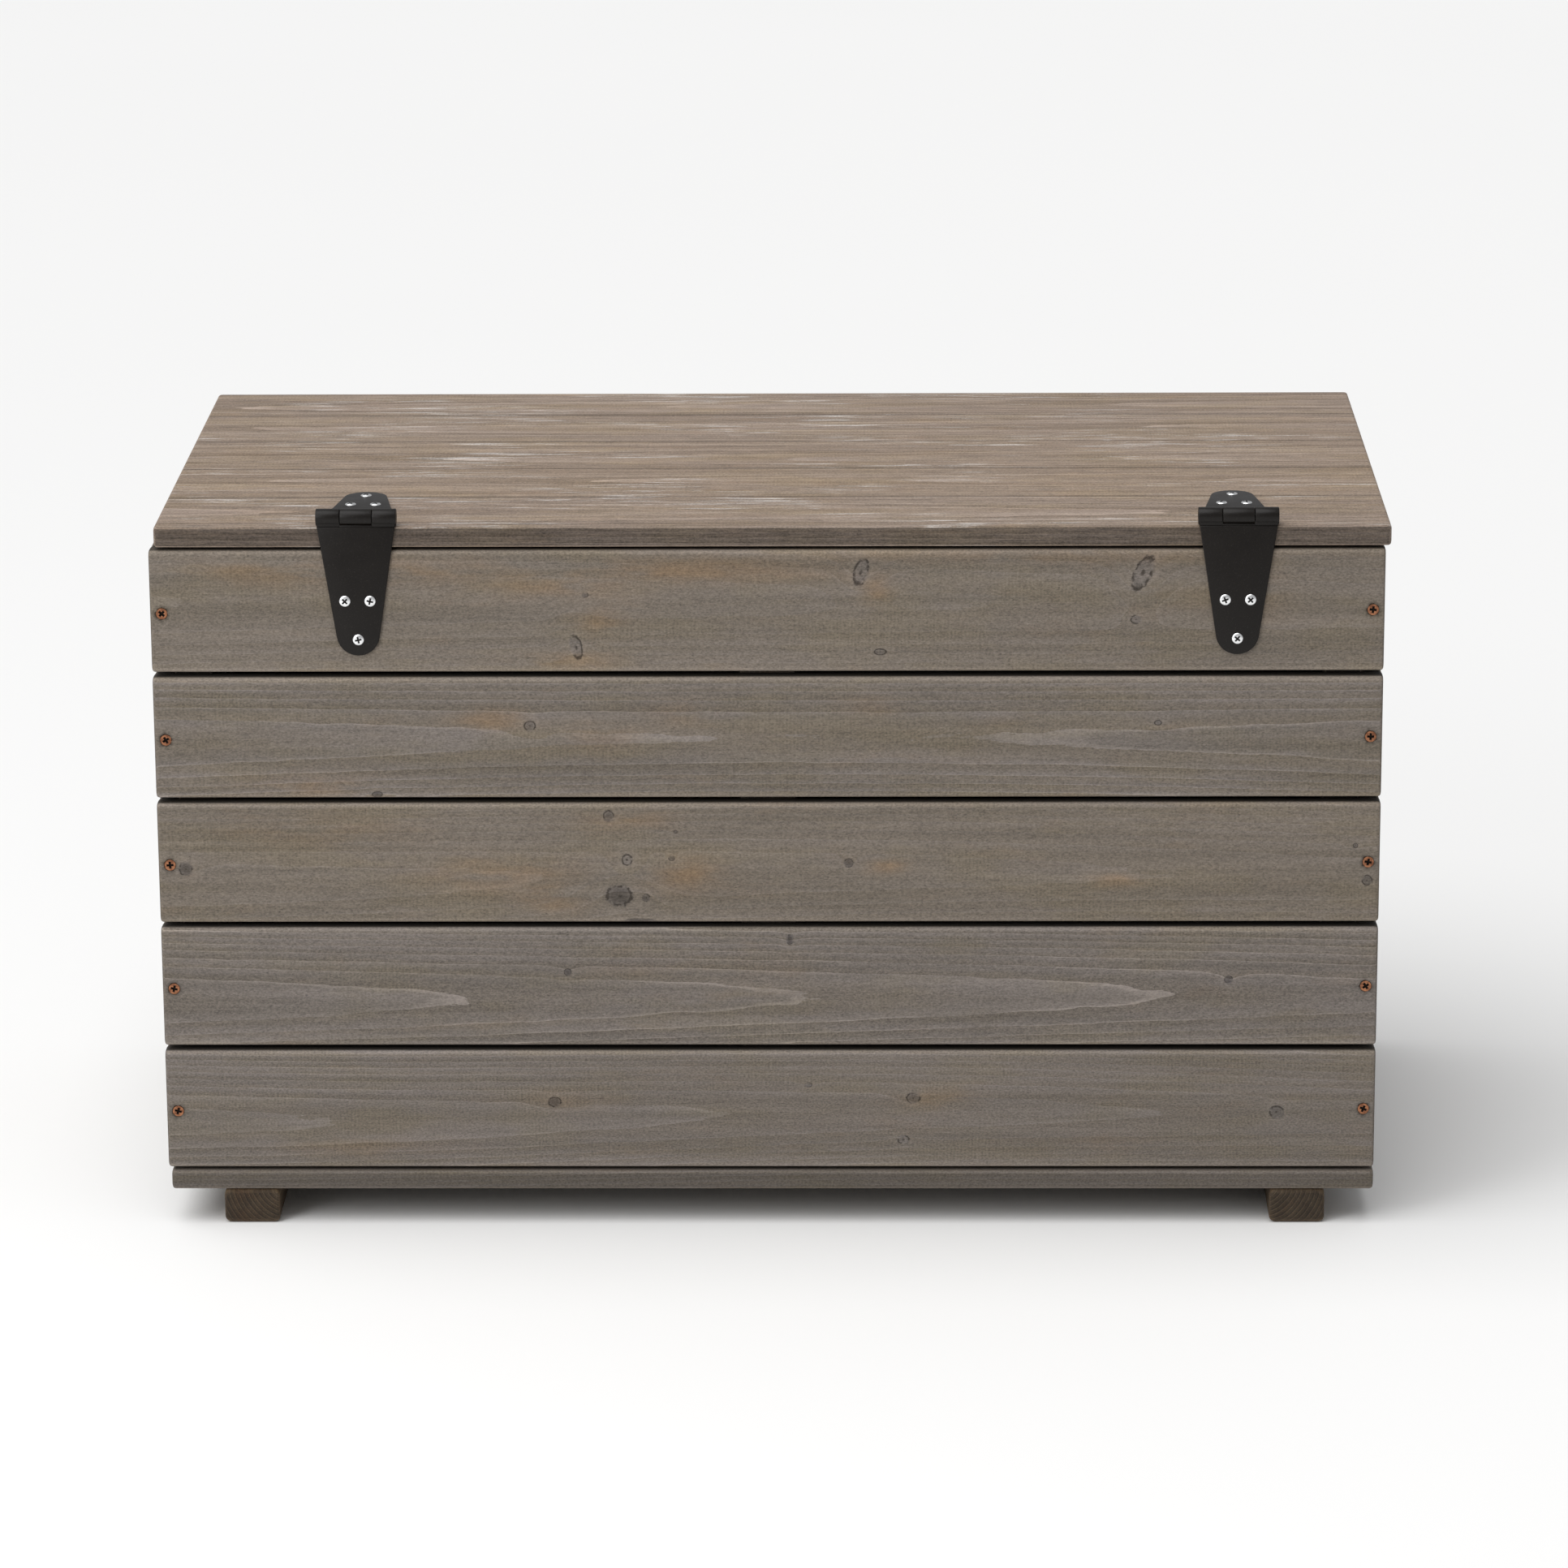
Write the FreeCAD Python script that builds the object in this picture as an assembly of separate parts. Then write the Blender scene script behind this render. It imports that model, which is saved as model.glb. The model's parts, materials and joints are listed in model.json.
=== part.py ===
import FreeCAD
import Part

import math
import os

# Wooden toy box on two runners, with a hinged lid. Millimetres.
# X runs along the box, -Y is the hinge side, +Z is up, and the floor is z = 0.
# The origin is the middle of the whole box's footprint.

# Boards
board_length = 900.0
board_thickness = 15.0
board_height = 92.0
board_gap = 3.6
wall_rows = 5
arris = 3.5
end_arris = 1.5
body_depth = 450.0

# Floor and the two runners under it
runner_width = 41.0
runner_height = 27.0
runner_length = 446.0
runner_round = 5.0
runner_centres = {"left": -390.5, "right": 391.5}
floor_length = 898.0
floor_clearance = 2.4

# Tongued and grooved boards of the floor and the lid
cover_width = 95.0
tongue_thickness = 5.0
tongue_reach = 6.0
groove_clearance = 0.1
seam_gap = 0.3
seam_bevel = 0.7

# Lid
lid_depth = 464.0
lid_shift = 4.0
lid_clearance = 2.0
lid_back_board = 97.0
lid_batten_width = 41.0
lid_batten_thickness = 18.0
lid_batten_centre = 220.0
lid_batten_back_room = 10.0
lid_batten_front_room = 12.0

# Battens inside the walls
corner_batten = 27.0
mid_batten_width = 41.0
mid_batten_thickness = 27.0
batten_below_rim = 12.0
batten_round = 2.0

# Strap hinges
hinge_centres = {"left": -300.0, "right": 341.0}
leaf_thickness = 2.0
barrel_radius = 6.3
barrel_length = 58.5
barrel_lift = 0.3
barrel_proud = 0.2
middle_knuckle = 23.0
knuckle_gap = 0.4
knuckle_room = 0.6
pin_radius = 2.5
pin_length = 57.5
running_clearance = 0.05
tip_distance = 86.6
tip_radius = 15.75
pair_screw_distance = 61.4
pair_screw_offset = 9.2
tip_screw_distance = 90.4

# Slotted friction stays, one inside each end
stay_radius = 150.0
stay_slide_angle = 30.0
stay_pivot_drop = 12.0
stay_opening = 95.0
arm_thickness = 2.0
arm_width = 16.0
arm_wall_gap = 4.0
slide_radius = 3.0
slide_clearance = 0.3
slot_end_room = 0.5
slide_head_radius = 6.5
slide_collar_radius = 7.0
slide_screw_length = 16.0
rivet_radius = 3.0
rivet_head_radius = 5.0
rivet_head_height = 1.5
bracket_thickness = 2.0
bracket_length = 44.0
bracket_flange = 22.0
bracket_screw_spacing = 28.0
side_gap = 0.3

# Screws: head and shank diameters, length, head depth and how far the head is domed
wall_screw = {"head": 8.3, "shank": 4.0, "length": 45.0, "depth": 2.6, "dome": 0.0}
batten_screw = {"head": 8.0, "shank": 3.5, "length": 35.0, "depth": 2.6, "dome": 0.0}
lid_screw = {"head": 8.0, "shank": 3.5, "length": 28.0, "depth": 2.6, "dome": 0.0}
hinge_screw = {"head": 8.2, "shank": 3.5, "length": 14.0, "depth": 2.0, "dome": 1.2}
bracket_screw = {"head": 7.0, "shank": 3.0, "length": 12.0, "depth": 1.8, "dome": 0.0}
screw_tip = 3.0
cross_width = 1.1
cross_span = 0.52
cross_depth = 1.4
wall_screw_inset = 8.5
wall_screw_rise = {"left": -1.6, "right": 0.0}
wall_screw_sink = 0.5
batten_screw_sink = 3.0
corner_screw_rise = 24.0
runner_screw_sink = 5.0
floor_screw_sink = 0.5

# Places worked out from the dimensions
body_left = -board_length / 2 - lid_shift / 2
body_right = body_left + board_length
body_middle = (body_left + body_right) / 2
lid_left = body_left + lid_shift
lid_right = lid_left + board_length
hinge_depth = leaf_thickness + hinge_screw["dome"]
back_face = -(lid_depth - hinge_depth) / 2
front_face = back_face + body_depth
inner_back = back_face + board_thickness
inner_front = front_face - board_thickness
inner_left = body_left + board_thickness
inner_right = body_right - board_thickness
floor_bottom = runner_height
floor_top = floor_bottom + board_thickness
row_pitch = board_height + board_gap
row_bottoms = [floor_top + floor_clearance + row * row_pitch for row in range(wall_rows)]
rim = row_bottoms[-1] + board_height
lid_bottom = rim + lid_clearance
lid_top = lid_bottom + board_thickness
batten_top = rim - batten_below_rim
hinge_y = back_face - leaf_thickness + barrel_radius - barrel_proud
hinge_z = lid_top + barrel_lift + barrel_radius

nodes = {}
groups = {}


def vec(x, y, z):
    return FreeCAD.Vector(x, y, z)


def block(x0, x1, y0, y1, z0, z1):
    return Part.makeBox(x1 - x0, y1 - y0, z1 - z0, vec(x0, y0, z0))


def edges_along(shape, axis):
    """The straight edges that run along one axis, 0 for X, 1 for Y and 2 for Z."""
    found = []
    for edge in shape.Edges:
        if edge.Curve.TypeId != "Part::GeomLine":
            continue
        run = edge.Vertexes[-1].Point - edge.Vertexes[0].Point
        if abs(run[axis]) > 0.999 * run.Length:
            found.append(edge)
    return found


def bar(x0, x1, y0, y1, z0, z1, axis, radius, end_radius=0.0):
    """A planed bar: its long edges are rounded, and its end faces too where end_radius is given."""
    solid = block(x0, x1, y0, y1, z0, z1)
    solid = solid.makeFillet(radius, edges_along(solid, axis))
    if end_radius:
        limits = (x0, x1), (y0, y1), (z0, z1)
        loops = []
        for end in limits[axis]:
            for edge in solid.Edges:
                if all(abs(vertex.Point[axis] - end) < 0.01 for vertex in edge.Vertexes):
                    loops.append(edge)
        solid = solid.makeFillet(end_radius, loops)
    return solid


def is_corner(edge, y, heights):
    """Whether an edge along X lies at y and at one of the heights."""
    point = edge.Vertexes[0].Point
    return abs(point.y - y) < 0.01 and min(abs(point.z - z) for z in heights) < 0.01


def place(shape, position, outward, spin=0.0):
    """Turns local +Z to outward, after a turn of spin degrees about it, and moves the shape."""
    turn = FreeCAD.Rotation(vec(0, 0, 1), outward)
    turn = turn.multiply(FreeCAD.Rotation(vec(0, 0, 1), spin))
    placed = shape.copy()
    placed.Placement = FreeCAD.Placement(position, turn)
    return placed


def screw_body(size):
    """A countersunk screw with its head's rim at z = 0 and its point down, without the cross."""
    head = size["head"] / 2
    shank = size["shank"] / 2
    tip = -size["length"]
    outline = [
        vec(head, 0, 0),
        vec(shank, 0, -size["depth"]),
        vec(shank, 0, tip + screw_tip),
        vec(0, 0, tip),
    ]
    edges = [Part.makeLine(a, b) for a, b in zip(outline, outline[1:])]
    top = vec(0, 0, size["dome"])
    edges.append(Part.makeLine(vec(0, 0, tip), top))
    if size["dome"]:
        half_way = vec(head * 0.62, 0, size["dome"] * 0.70)
        edges.append(Part.Arc(top, half_way, vec(head, 0, 0)).toShape())
    else:
        edges.append(Part.makeLine(top, vec(head, 0, 0)))
    wire = Part.Wire(Part.__sortEdges__(edges))
    return Part.Face(wire).revolve(vec(0, 0, 0), vec(0, 0, 1), 360)


def screw(size):
    """The screw with its cross recess."""
    arm = size["head"] * cross_span / 2
    half = cross_width / 2
    floor = size["dome"] - cross_depth
    top = size["dome"] + 1
    cross = block(-arm, arm, -half, half, floor, top).fuse(block(-half, half, -arm, arm, floor, top))
    return screw_body(size).cut(cross)


def drive(group, size, position, outward, through, sink=0.0, spin=0.0):
    """Drives one screw: its head's rim is sink below position, and each node in through is bored."""
    seat = position - outward * sink
    groups.setdefault(group, []).append(place(screw(size), seat, outward, spin))
    pocket = place(screw_body(size), seat, outward, spin)
    access = Part.makeCylinder(size["head"] / 2, sink + 1, seat, outward)
    hollow = pocket.fuse(access)
    for node in through:
        nodes[node] = nodes[node].cut(hollow)


def build_walls():
    for row, bottom in enumerate(row_bottoms, start=1):
        top = bottom + board_height
        for name, y0 in (("back", back_face), ("front", inner_front)):
            nodes[f"{name}_board_{row}"] = bar(
                body_left, body_right, y0, y0 + board_thickness, bottom, top, 0, arris, end_arris
            )
        for name, x0 in (("left", body_left), ("right", inner_right)):
            nodes[f"{name}_board_{row}"] = bar(
                x0, x0 + board_thickness, inner_back, inner_front, bottom, top, 1, arris
            )


def jointed_board(x0, x1, y0, y1, z0, joint_before, joint_after):
    """One board of a tongued and grooved panel, with a groove on its -Y edge and a tongue on +Y."""
    z1 = z0 + board_thickness
    low = (z0 + z1 - tongue_thickness) / 2
    high = low + tongue_thickness
    start = y0 + seam_gap / 2 if joint_before else y0
    stop = y1 - seam_gap / 2 if joint_after else y1
    solid = block(x0, x1, start, stop, z0, z1)
    for edge_y, jointed in ((start, joint_before), (stop, joint_after)):
        corners = [edge for edge in edges_along(solid, 0) if is_corner(edge, edge_y, (z0, z1))]
        if jointed:
            solid = solid.makeChamfer(seam_bevel, corners)
        else:
            solid = solid.makeFillet(arris, corners)
    if joint_before:
        reach = tongue_reach + seam_gap + groove_clearance
        solid = solid.cut(
            block(x0, x1, start - 1, start + reach, low - groove_clearance, high + groove_clearance)
        )
    if joint_after:
        solid = solid.fuse(block(x0, x1, stop - 1, stop + tongue_reach, low, high)).removeSplitter()
    return solid


def build_panel(name, x0, x1, seams, z0):
    last = len(seams) - 1
    for index in range(last):
        nodes[f"{name}_board_{index + 1}"] = jointed_board(
            x0, x1, seams[index], seams[index + 1], z0, index > 0, index < last - 1
        )


def runner(centre):
    x0 = centre - runner_width / 2
    y0 = (back_face + front_face - runner_length) / 2
    solid = block(x0, x0 + runner_width, y0, y0 + runner_length, 0, runner_height)
    lower = [edge for edge in solid.Edges if all(vertex.Z < 0.01 for vertex in edge.Vertexes)]
    return solid.makeFillet(runner_round, lower)


def build_battens():
    for side, x0 in (("left", inner_left), ("right", inner_right - corner_batten)):
        for end, y0 in (("back", inner_back), ("front", inner_front - corner_batten)):
            nodes[f"corner_batten_{end}_{side}"] = bar(
                x0, x0 + corner_batten, y0, y0 + corner_batten, floor_top, batten_top, 2, batten_round
            )
    x0 = body_middle - mid_batten_width / 2
    for end, y0 in (("back", inner_back), ("front", inner_front - mid_batten_thickness)):
        nodes[f"mid_batten_{end}"] = bar(
            x0, x0 + mid_batten_width, y0, y0 + mid_batten_thickness, floor_top, batten_top, 2, batten_round
        )
    for side, centre in (("left", -lid_batten_centre), ("right", lid_batten_centre)):
        x0 = centre - lid_batten_width / 2
        nodes[f"lid_batten_{side}"] = bar(
            x0,
            x0 + lid_batten_width,
            inner_back + lid_batten_back_room,
            inner_front - lid_batten_front_room,
            lid_bottom - lid_batten_thickness,
            lid_bottom,
            1,
            batten_round,
        )


def leaf_face():
    """The tapered outline of a hinge leaf: X across it, Y away from the barrel's axis."""
    half = barrel_length / 2
    reach = math.hypot(half, tip_distance)
    lean = math.atan2(half, tip_distance) - math.asin(tip_radius / reach)
    run = math.sqrt(reach**2 - tip_radius**2)
    touch_x = half - run * math.sin(lean)
    touch_y = run * math.cos(lean)
    corner_a, corner_b = vec(-half, 0, 0), vec(half, 0, 0)
    touch_a, touch_b = vec(-touch_x, touch_y, 0), vec(touch_x, touch_y, 0)
    tip = vec(0, tip_distance + tip_radius, 0)
    edges = [
        Part.makeLine(corner_a, corner_b),
        Part.makeLine(corner_b, touch_b),
        Part.Arc(touch_b, tip, touch_a).toShape(),
        Part.makeLine(touch_a, corner_a),
    ]
    return Part.Face(Part.Wire(edges))


def knuckle(x0, x1, bore):
    """A rolled knuckle about the local X axis, from x0 to x1."""
    outside = Part.makeCylinder(barrel_radius, x1 - x0, vec(x0, 0, 0), vec(1, 0, 0))
    return outside.cut(Part.makeCylinder(bore, x1 - x0, vec(x0, 0, 0), vec(1, 0, 0)))


def hinge_parts():
    """The strap, the lid leaf and the pin of one hinge, with the barrel's axis on local X."""
    half = barrel_length / 2
    middle = middle_knuckle / 2
    edge = middle + knuckle_gap
    clear = barrel_radius + knuckle_room
    plate = leaf_face().extrude(vec(0, 0, leaf_thickness))

    strap = plate.copy()
    strap.rotate(vec(0, 0, 0), vec(1, 0, 0), -90)
    strap.translate(vec(0, barrel_proud - barrel_radius, 0))
    strap = strap.fuse([knuckle(-half, -edge, pin_radius), knuckle(edge, half, pin_radius)])
    strap = strap.cut(block(-edge, edge, -barrel_radius - 1, barrel_radius + 1, -clear, clear))
    bore = Part.makeCylinder(pin_radius, barrel_length, vec(-half, 0, 0), vec(1, 0, 0))
    strap = strap.cut(bore).removeSplitter()

    lid_leaf = plate.copy()
    lid_leaf.translate(vec(0, 0, -barrel_radius - barrel_lift))
    for x0, x1 in ((-half - 1, -middle), (middle, half + 1)):
        lid_leaf = lid_leaf.cut(block(x0, x1, -1, clear, -clear - 1, 0))
    bore_radius = pin_radius + running_clearance
    lid_leaf = lid_leaf.fuse(knuckle(-middle, middle, bore_radius)).removeSplitter()

    pin = Part.makeCylinder(pin_radius, pin_length, vec(-pin_length / 2, 0, 0), vec(1, 0, 0))
    return strap, lid_leaf, pin


def build_hinges():
    for side, centre in hinge_centres.items():
        strap, lid_leaf, pin = hinge_parts()
        for node, shape in (("hinge_strap", strap), ("hinge_lid_leaf", lid_leaf), ("hinge_pin", pin)):
            shape.translate(vec(centre, hinge_y, hinge_z))
            nodes[f"{node}_{side}"] = shape
        spots = [
            (-pair_screw_offset, pair_screw_distance),
            (pair_screw_offset, pair_screw_distance),
            (0, tip_screw_distance),
        ]
        for number, (across, away) in enumerate(spots):
            drive(
                "hinge_strap_screws",
                hinge_screw,
                vec(centre + across, back_face - leaf_thickness, hinge_z - away),
                vec(0, -1, 0),
                [f"hinge_strap_{side}", f"back_board_{wall_rows}"],
                spin=20 + 37 * number,
            )
            drive(
                "hinge_leaf_screws",
                hinge_screw,
                vec(centre + across, hinge_y + away, lid_top + leaf_thickness),
                vec(0, 0, 1),
                [f"hinge_lid_leaf_{side}", "lid_board_1"],
                spin=65 + 41 * number,
            )


def drive_wall_screws():
    for row, bottom in enumerate(row_bottoms, start=1):
        for wall, y, outward in (("back", back_face, -1), ("front", front_face, 1)):
            ends = (("left", body_left + wall_screw_inset), ("right", body_right - wall_screw_inset))
            for number, (side, x) in enumerate(ends):
                drive(
                    "wall_screws",
                    wall_screw,
                    vec(x, y, bottom + board_height / 2 + wall_screw_rise[side]),
                    vec(0, outward, 0),
                    [f"{wall}_board_{row}", f"{side}_board_{row}"],
                    sink=wall_screw_sink,
                    spin=23 * row + 50 * number,
                )


def drive_batten_screws():
    for row, bottom in enumerate(row_bottoms, start=1):
        middle_z = bottom + board_height / 2
        for side, x, outward in (
            ("left", inner_left + corner_batten, 1),
            ("right", inner_right - corner_batten, -1),
        ):
            for end, y in (
                ("back", inner_back + corner_batten / 2),
                ("front", inner_front - corner_batten / 2),
            ):
                drive(
                    "batten_screws",
                    batten_screw,
                    vec(x, y, middle_z + corner_screw_rise),
                    vec(outward, 0, 0),
                    [f"corner_batten_{end}_{side}", f"{side}_board_{row}"],
                    sink=batten_screw_sink,
                    spin=31 * row,
                )
        for end, y, outward in (
            ("back", inner_back + mid_batten_thickness, 1),
            ("front", inner_front - mid_batten_thickness, -1),
        ):
            drive(
                "batten_screws",
                batten_screw,
                vec(body_middle, y, middle_z),
                vec(0, outward, 0),
                [f"mid_batten_{end}", f"{end}_board_{row}"],
                sink=batten_screw_sink,
                spin=17 * row,
            )


def drive_floor_screws(floor_seams):
    down = vec(0, 0, -1)
    half = corner_batten / 2
    for end, board, batten_y, mid_y in (
        ("back", 1, inner_back + half, inner_back + mid_batten_thickness / 2),
        ("front", wall_rows, inner_front - half, inner_front - mid_batten_thickness / 2),
    ):
        spots = (
            (f"corner_batten_{end}_left", inner_left + half, batten_y),
            (f"mid_batten_{end}", body_middle, mid_y),
            (f"corner_batten_{end}_right", inner_right - half, batten_y),
        )
        for batten, x, y in spots:
            drive(
                "floor_screws",
                batten_screw,
                vec(x, y, floor_bottom),
                down,
                [f"floor_board_{board}", batten],
                sink=floor_screw_sink,
                spin=12,
            )
    for side, x in runner_centres.items():
        for index in range(len(floor_seams) - 1):
            y = (floor_seams[index] + floor_seams[index + 1]) / 2
            drive(
                "floor_screws",
                batten_screw,
                vec(x, y, 0),
                down,
                [f"runner_{side}", f"floor_board_{index + 1}"],
                sink=runner_screw_sink,
                spin=29 * index,
            )


def drive_lid_screws(lid_seams):
    batten_start = inner_back + lid_batten_back_room
    batten_stop = inner_front - lid_batten_front_room
    for side, x in (("left", -lid_batten_centre), ("right", lid_batten_centre)):
        for index in range(len(lid_seams) - 1):
            start = max(lid_seams[index], batten_start)
            stop = min(lid_seams[index + 1], batten_stop)
            drive(
                "lid_batten_screws",
                lid_screw,
                vec(x, (start + stop) / 2, lid_bottom - lid_batten_thickness),
                vec(0, 0, -1),
                [f"lid_batten_{side}", f"lid_board_{index + 1}"],
                sink=floor_screw_sink,
                spin=33 * index,
            )


# The stay: its pivot on the lid and its slide screw on the end wall are equally far from the
# hinge axis, so the arm turns by half the lid's angle, the other way, in the lid's own frame.
pivot_z = lid_bottom - stay_pivot_drop
pivot_start = math.asin((hinge_z - pivot_z) / stay_radius)
pivot_y = hinge_y + stay_radius * math.cos(pivot_start)
slide_angle = math.radians(stay_slide_angle)
slide_y = hinge_y + stay_radius * math.cos(slide_angle)
slide_z = hinge_z - stay_radius * math.sin(slide_angle)
spread_closed = slide_angle - pivot_start
spread_open = spread_closed + math.radians(stay_opening)
reach_closed = 2 * stay_radius * math.sin(spread_closed / 2)
reach_open = 2 * stay_radius * math.sin(spread_open / 2)
arm_lean = -(slide_angle + pivot_start) / 2 - math.pi / 2


def rounded_slot(start, stop, radius, thickness):
    """A flat bar with round ends about the local X axis: from start to stop along local Y."""
    ends = [Part.makeCylinder(radius, thickness, vec(0, y, 0), vec(1, 0, 0)) for y in (start, stop)]
    return block(0, thickness, start, stop, -radius, radius).fuse(ends).removeSplitter()


def stay_arm():
    """The arm as it lies with the lid shut, in the plane x = 0 to arm_thickness."""
    slot_start = reach_closed - slot_end_room
    slot_stop = reach_open + slot_end_room
    arm = rounded_slot(0, slot_stop + slide_radius, arm_width / 2, arm_thickness)
    slot = rounded_slot(slot_start, slot_stop, slide_radius + slide_clearance, arm_thickness)
    hole = Part.makeCylinder(rivet_radius + running_clearance, arm_thickness, vec(0, 0, 0), vec(1, 0, 0))
    arm = arm.cut([slot, hole])
    arm.rotate(vec(0, 0, 0), vec(1, 0, 0), math.degrees(arm_lean))
    arm.translate(vec(0, pivot_y, pivot_z))
    return arm


def disc(radius, x0, x1, y, z):
    return Part.makeCylinder(radius, x1 - x0, vec(x0, y, z), vec(1, 0, 0))


def build_stays():
    """The parts are laid out from x = 0 at the wall's inner face, then mirrored for the right end."""
    arm_x = arm_wall_gap
    tab_x = arm_x + arm_thickness + side_gap
    tab_end = tab_x + bracket_thickness
    bracket_end = tab_x + bracket_flange
    y0 = pivot_y - bracket_length / 2
    y1 = pivot_y + bracket_length / 2
    for side, wall_x, inward in (("left", inner_left, 1), ("right", inner_right, -1)):

        def set_in(shape):
            if inward < 0:
                shape = shape.mirror(vec(0, 0, 0), vec(1, 0, 0))
            shape.translate(vec(wall_x, 0, 0))
            return shape

        arm = stay_arm()
        arm.translate(vec(arm_x, 0, 0))
        nodes[f"stay_arm_{side}"] = set_in(arm)

        flange = block(tab_x, bracket_end, y0, y1, lid_bottom - bracket_thickness, lid_bottom)
        tab_half = arm_width / 2
        tab = block(tab_x, tab_end, pivot_y - tab_half, pivot_y + tab_half, pivot_z, lid_bottom)
        tab = tab.fuse(disc(tab_half, tab_x, tab_end, pivot_y, pivot_z))
        hole = disc(rivet_radius, tab_x, tab_end, pivot_y, pivot_z)
        nodes[f"stay_bracket_{side}"] = set_in(flange.fuse(tab).removeSplitter().cut(hole))

        rivet = disc(rivet_radius, arm_x - side_gap, tab_end, pivot_y, pivot_z)
        heads = [
            disc(rivet_head_radius, x0, x0 + rivet_head_height, pivot_y, pivot_z)
            for x0 in (arm_x - side_gap - rivet_head_height, tab_end)
        ]
        groups.setdefault("stay_rivets", []).append(set_in(rivet.fuse(heads).removeSplitter()))

        stud = disc(slide_collar_radius, 0, arm_x - side_gap, slide_y, slide_z)
        stud = stud.fuse(
            [
                disc(slide_radius, -1, tab_x, slide_y, slide_z),
                disc(slide_head_radius, tab_x, tab_end, slide_y, slide_z),
            ]
        )
        thread_length = slide_screw_length - tab_end
        thread = disc(2, -thread_length, 0, slide_y, slide_z)
        stud = stud.cut(disc(slide_radius, -1, 0, slide_y, slide_z)).fuse(thread).removeSplitter()
        stud = set_in(stud)
        groups.setdefault("stay_slide_screws", []).append(stud)
        nodes[f"{side}_board_{wall_rows}"] = nodes[f"{side}_board_{wall_rows}"].cut(stud)

        screw_x = wall_x + inward * (tab_end + bracket_end) / 2
        for step in (-0.5, 0.5):
            y = pivot_y + step * bracket_screw_spacing
            board = next(
                index + 1 for index in range(len(lid_seams) - 1) if lid_seams[index + 1] > y
            )
            drive(
                "stay_bracket_screws",
                bracket_screw,
                vec(screw_x, y, lid_bottom - bracket_thickness),
                vec(0, 0, -1),
                [f"stay_bracket_{side}", f"lid_board_{board}"],
                spin=25,
            )


def panel_seams(first_cover, depth):
    """Where one board of a panel ends and the next begins, along Y."""
    seams = [back_face, back_face + first_cover]
    while seams[-1] + cover_width < back_face + depth:
        seams.append(seams[-1] + cover_width)
    return seams + [back_face + depth]


floor_seams = panel_seams(cover_width, body_depth)
lid_seams = panel_seams(lid_back_board, lid_depth)
floor_left = body_right - floor_length

build_walls()
build_panel("floor", floor_left, body_right, floor_seams, floor_bottom)
build_panel("lid", lid_left, lid_right, lid_seams, lid_bottom)
for runner_side, runner_centre in runner_centres.items():
    nodes[f"runner_{runner_side}"] = runner(runner_centre)
build_battens()
build_hinges()
build_stays()
drive_wall_screws()
drive_batten_screws()
drive_floor_screws(floor_seams)
drive_lid_screws(lid_seams)

for group, screws in groups.items():
    nodes[group] = Part.makeCompound(screws)

os.makedirs("parts", exist_ok=True)
for node, shape in nodes.items():
    shape.exportStep(f"parts/{node}.step")
    print(f"{node}: {len(shape.Solids)} solid, {shape.Volume / 1000:.1f} cm3, valid {shape.isValid()}")
print(f"hinge axis y {hinge_y:.3f} z {hinge_z:.3f}")
print(f"stay pivot y {pivot_y:.3f} z {pivot_z:.3f}, slide screw y {slide_y:.3f} z {slide_z:.3f}")
print(f"{len(nodes)} nodes")
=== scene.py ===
import json
import math
import random

import bmesh
import bpy
import numpy as np
from mathutils import Matrix, Vector


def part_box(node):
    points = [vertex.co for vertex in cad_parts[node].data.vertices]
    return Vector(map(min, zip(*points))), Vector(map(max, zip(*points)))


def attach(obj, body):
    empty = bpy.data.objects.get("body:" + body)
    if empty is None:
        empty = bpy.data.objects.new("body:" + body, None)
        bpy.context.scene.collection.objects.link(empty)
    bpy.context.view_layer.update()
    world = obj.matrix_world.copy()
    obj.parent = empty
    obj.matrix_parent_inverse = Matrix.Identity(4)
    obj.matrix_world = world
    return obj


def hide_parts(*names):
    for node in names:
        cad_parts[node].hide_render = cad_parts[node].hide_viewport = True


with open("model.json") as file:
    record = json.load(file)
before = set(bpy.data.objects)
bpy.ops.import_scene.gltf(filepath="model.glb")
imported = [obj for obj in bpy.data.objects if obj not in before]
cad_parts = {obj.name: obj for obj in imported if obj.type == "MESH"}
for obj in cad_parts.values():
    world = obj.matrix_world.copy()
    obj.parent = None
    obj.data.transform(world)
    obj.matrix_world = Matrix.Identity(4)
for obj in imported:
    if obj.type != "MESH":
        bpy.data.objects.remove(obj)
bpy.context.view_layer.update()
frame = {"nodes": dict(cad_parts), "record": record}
nodes = frame["nodes"]
bodyOf = {node: body for body, members in frame["record"]["behaviour"]["bodies"].items() for node in members}
scene = bpy.context.scene
mm = 0.001
print("frame loaded:", len(nodes), "parts")

cameraView = {
    "lens": 143.5,
    "pitch": 15.61,  # degrees down
    "yaw": 1.05,  # degrees to the left
    "roll": 0.35,
    "right": 93.1 * mm,  # from the middle of the back boards
    "distance": 4418.4 * mm,  # from the back boards' face
    "height": 1549.5 * mm,  # above the underside of the floor panel
}


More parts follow.
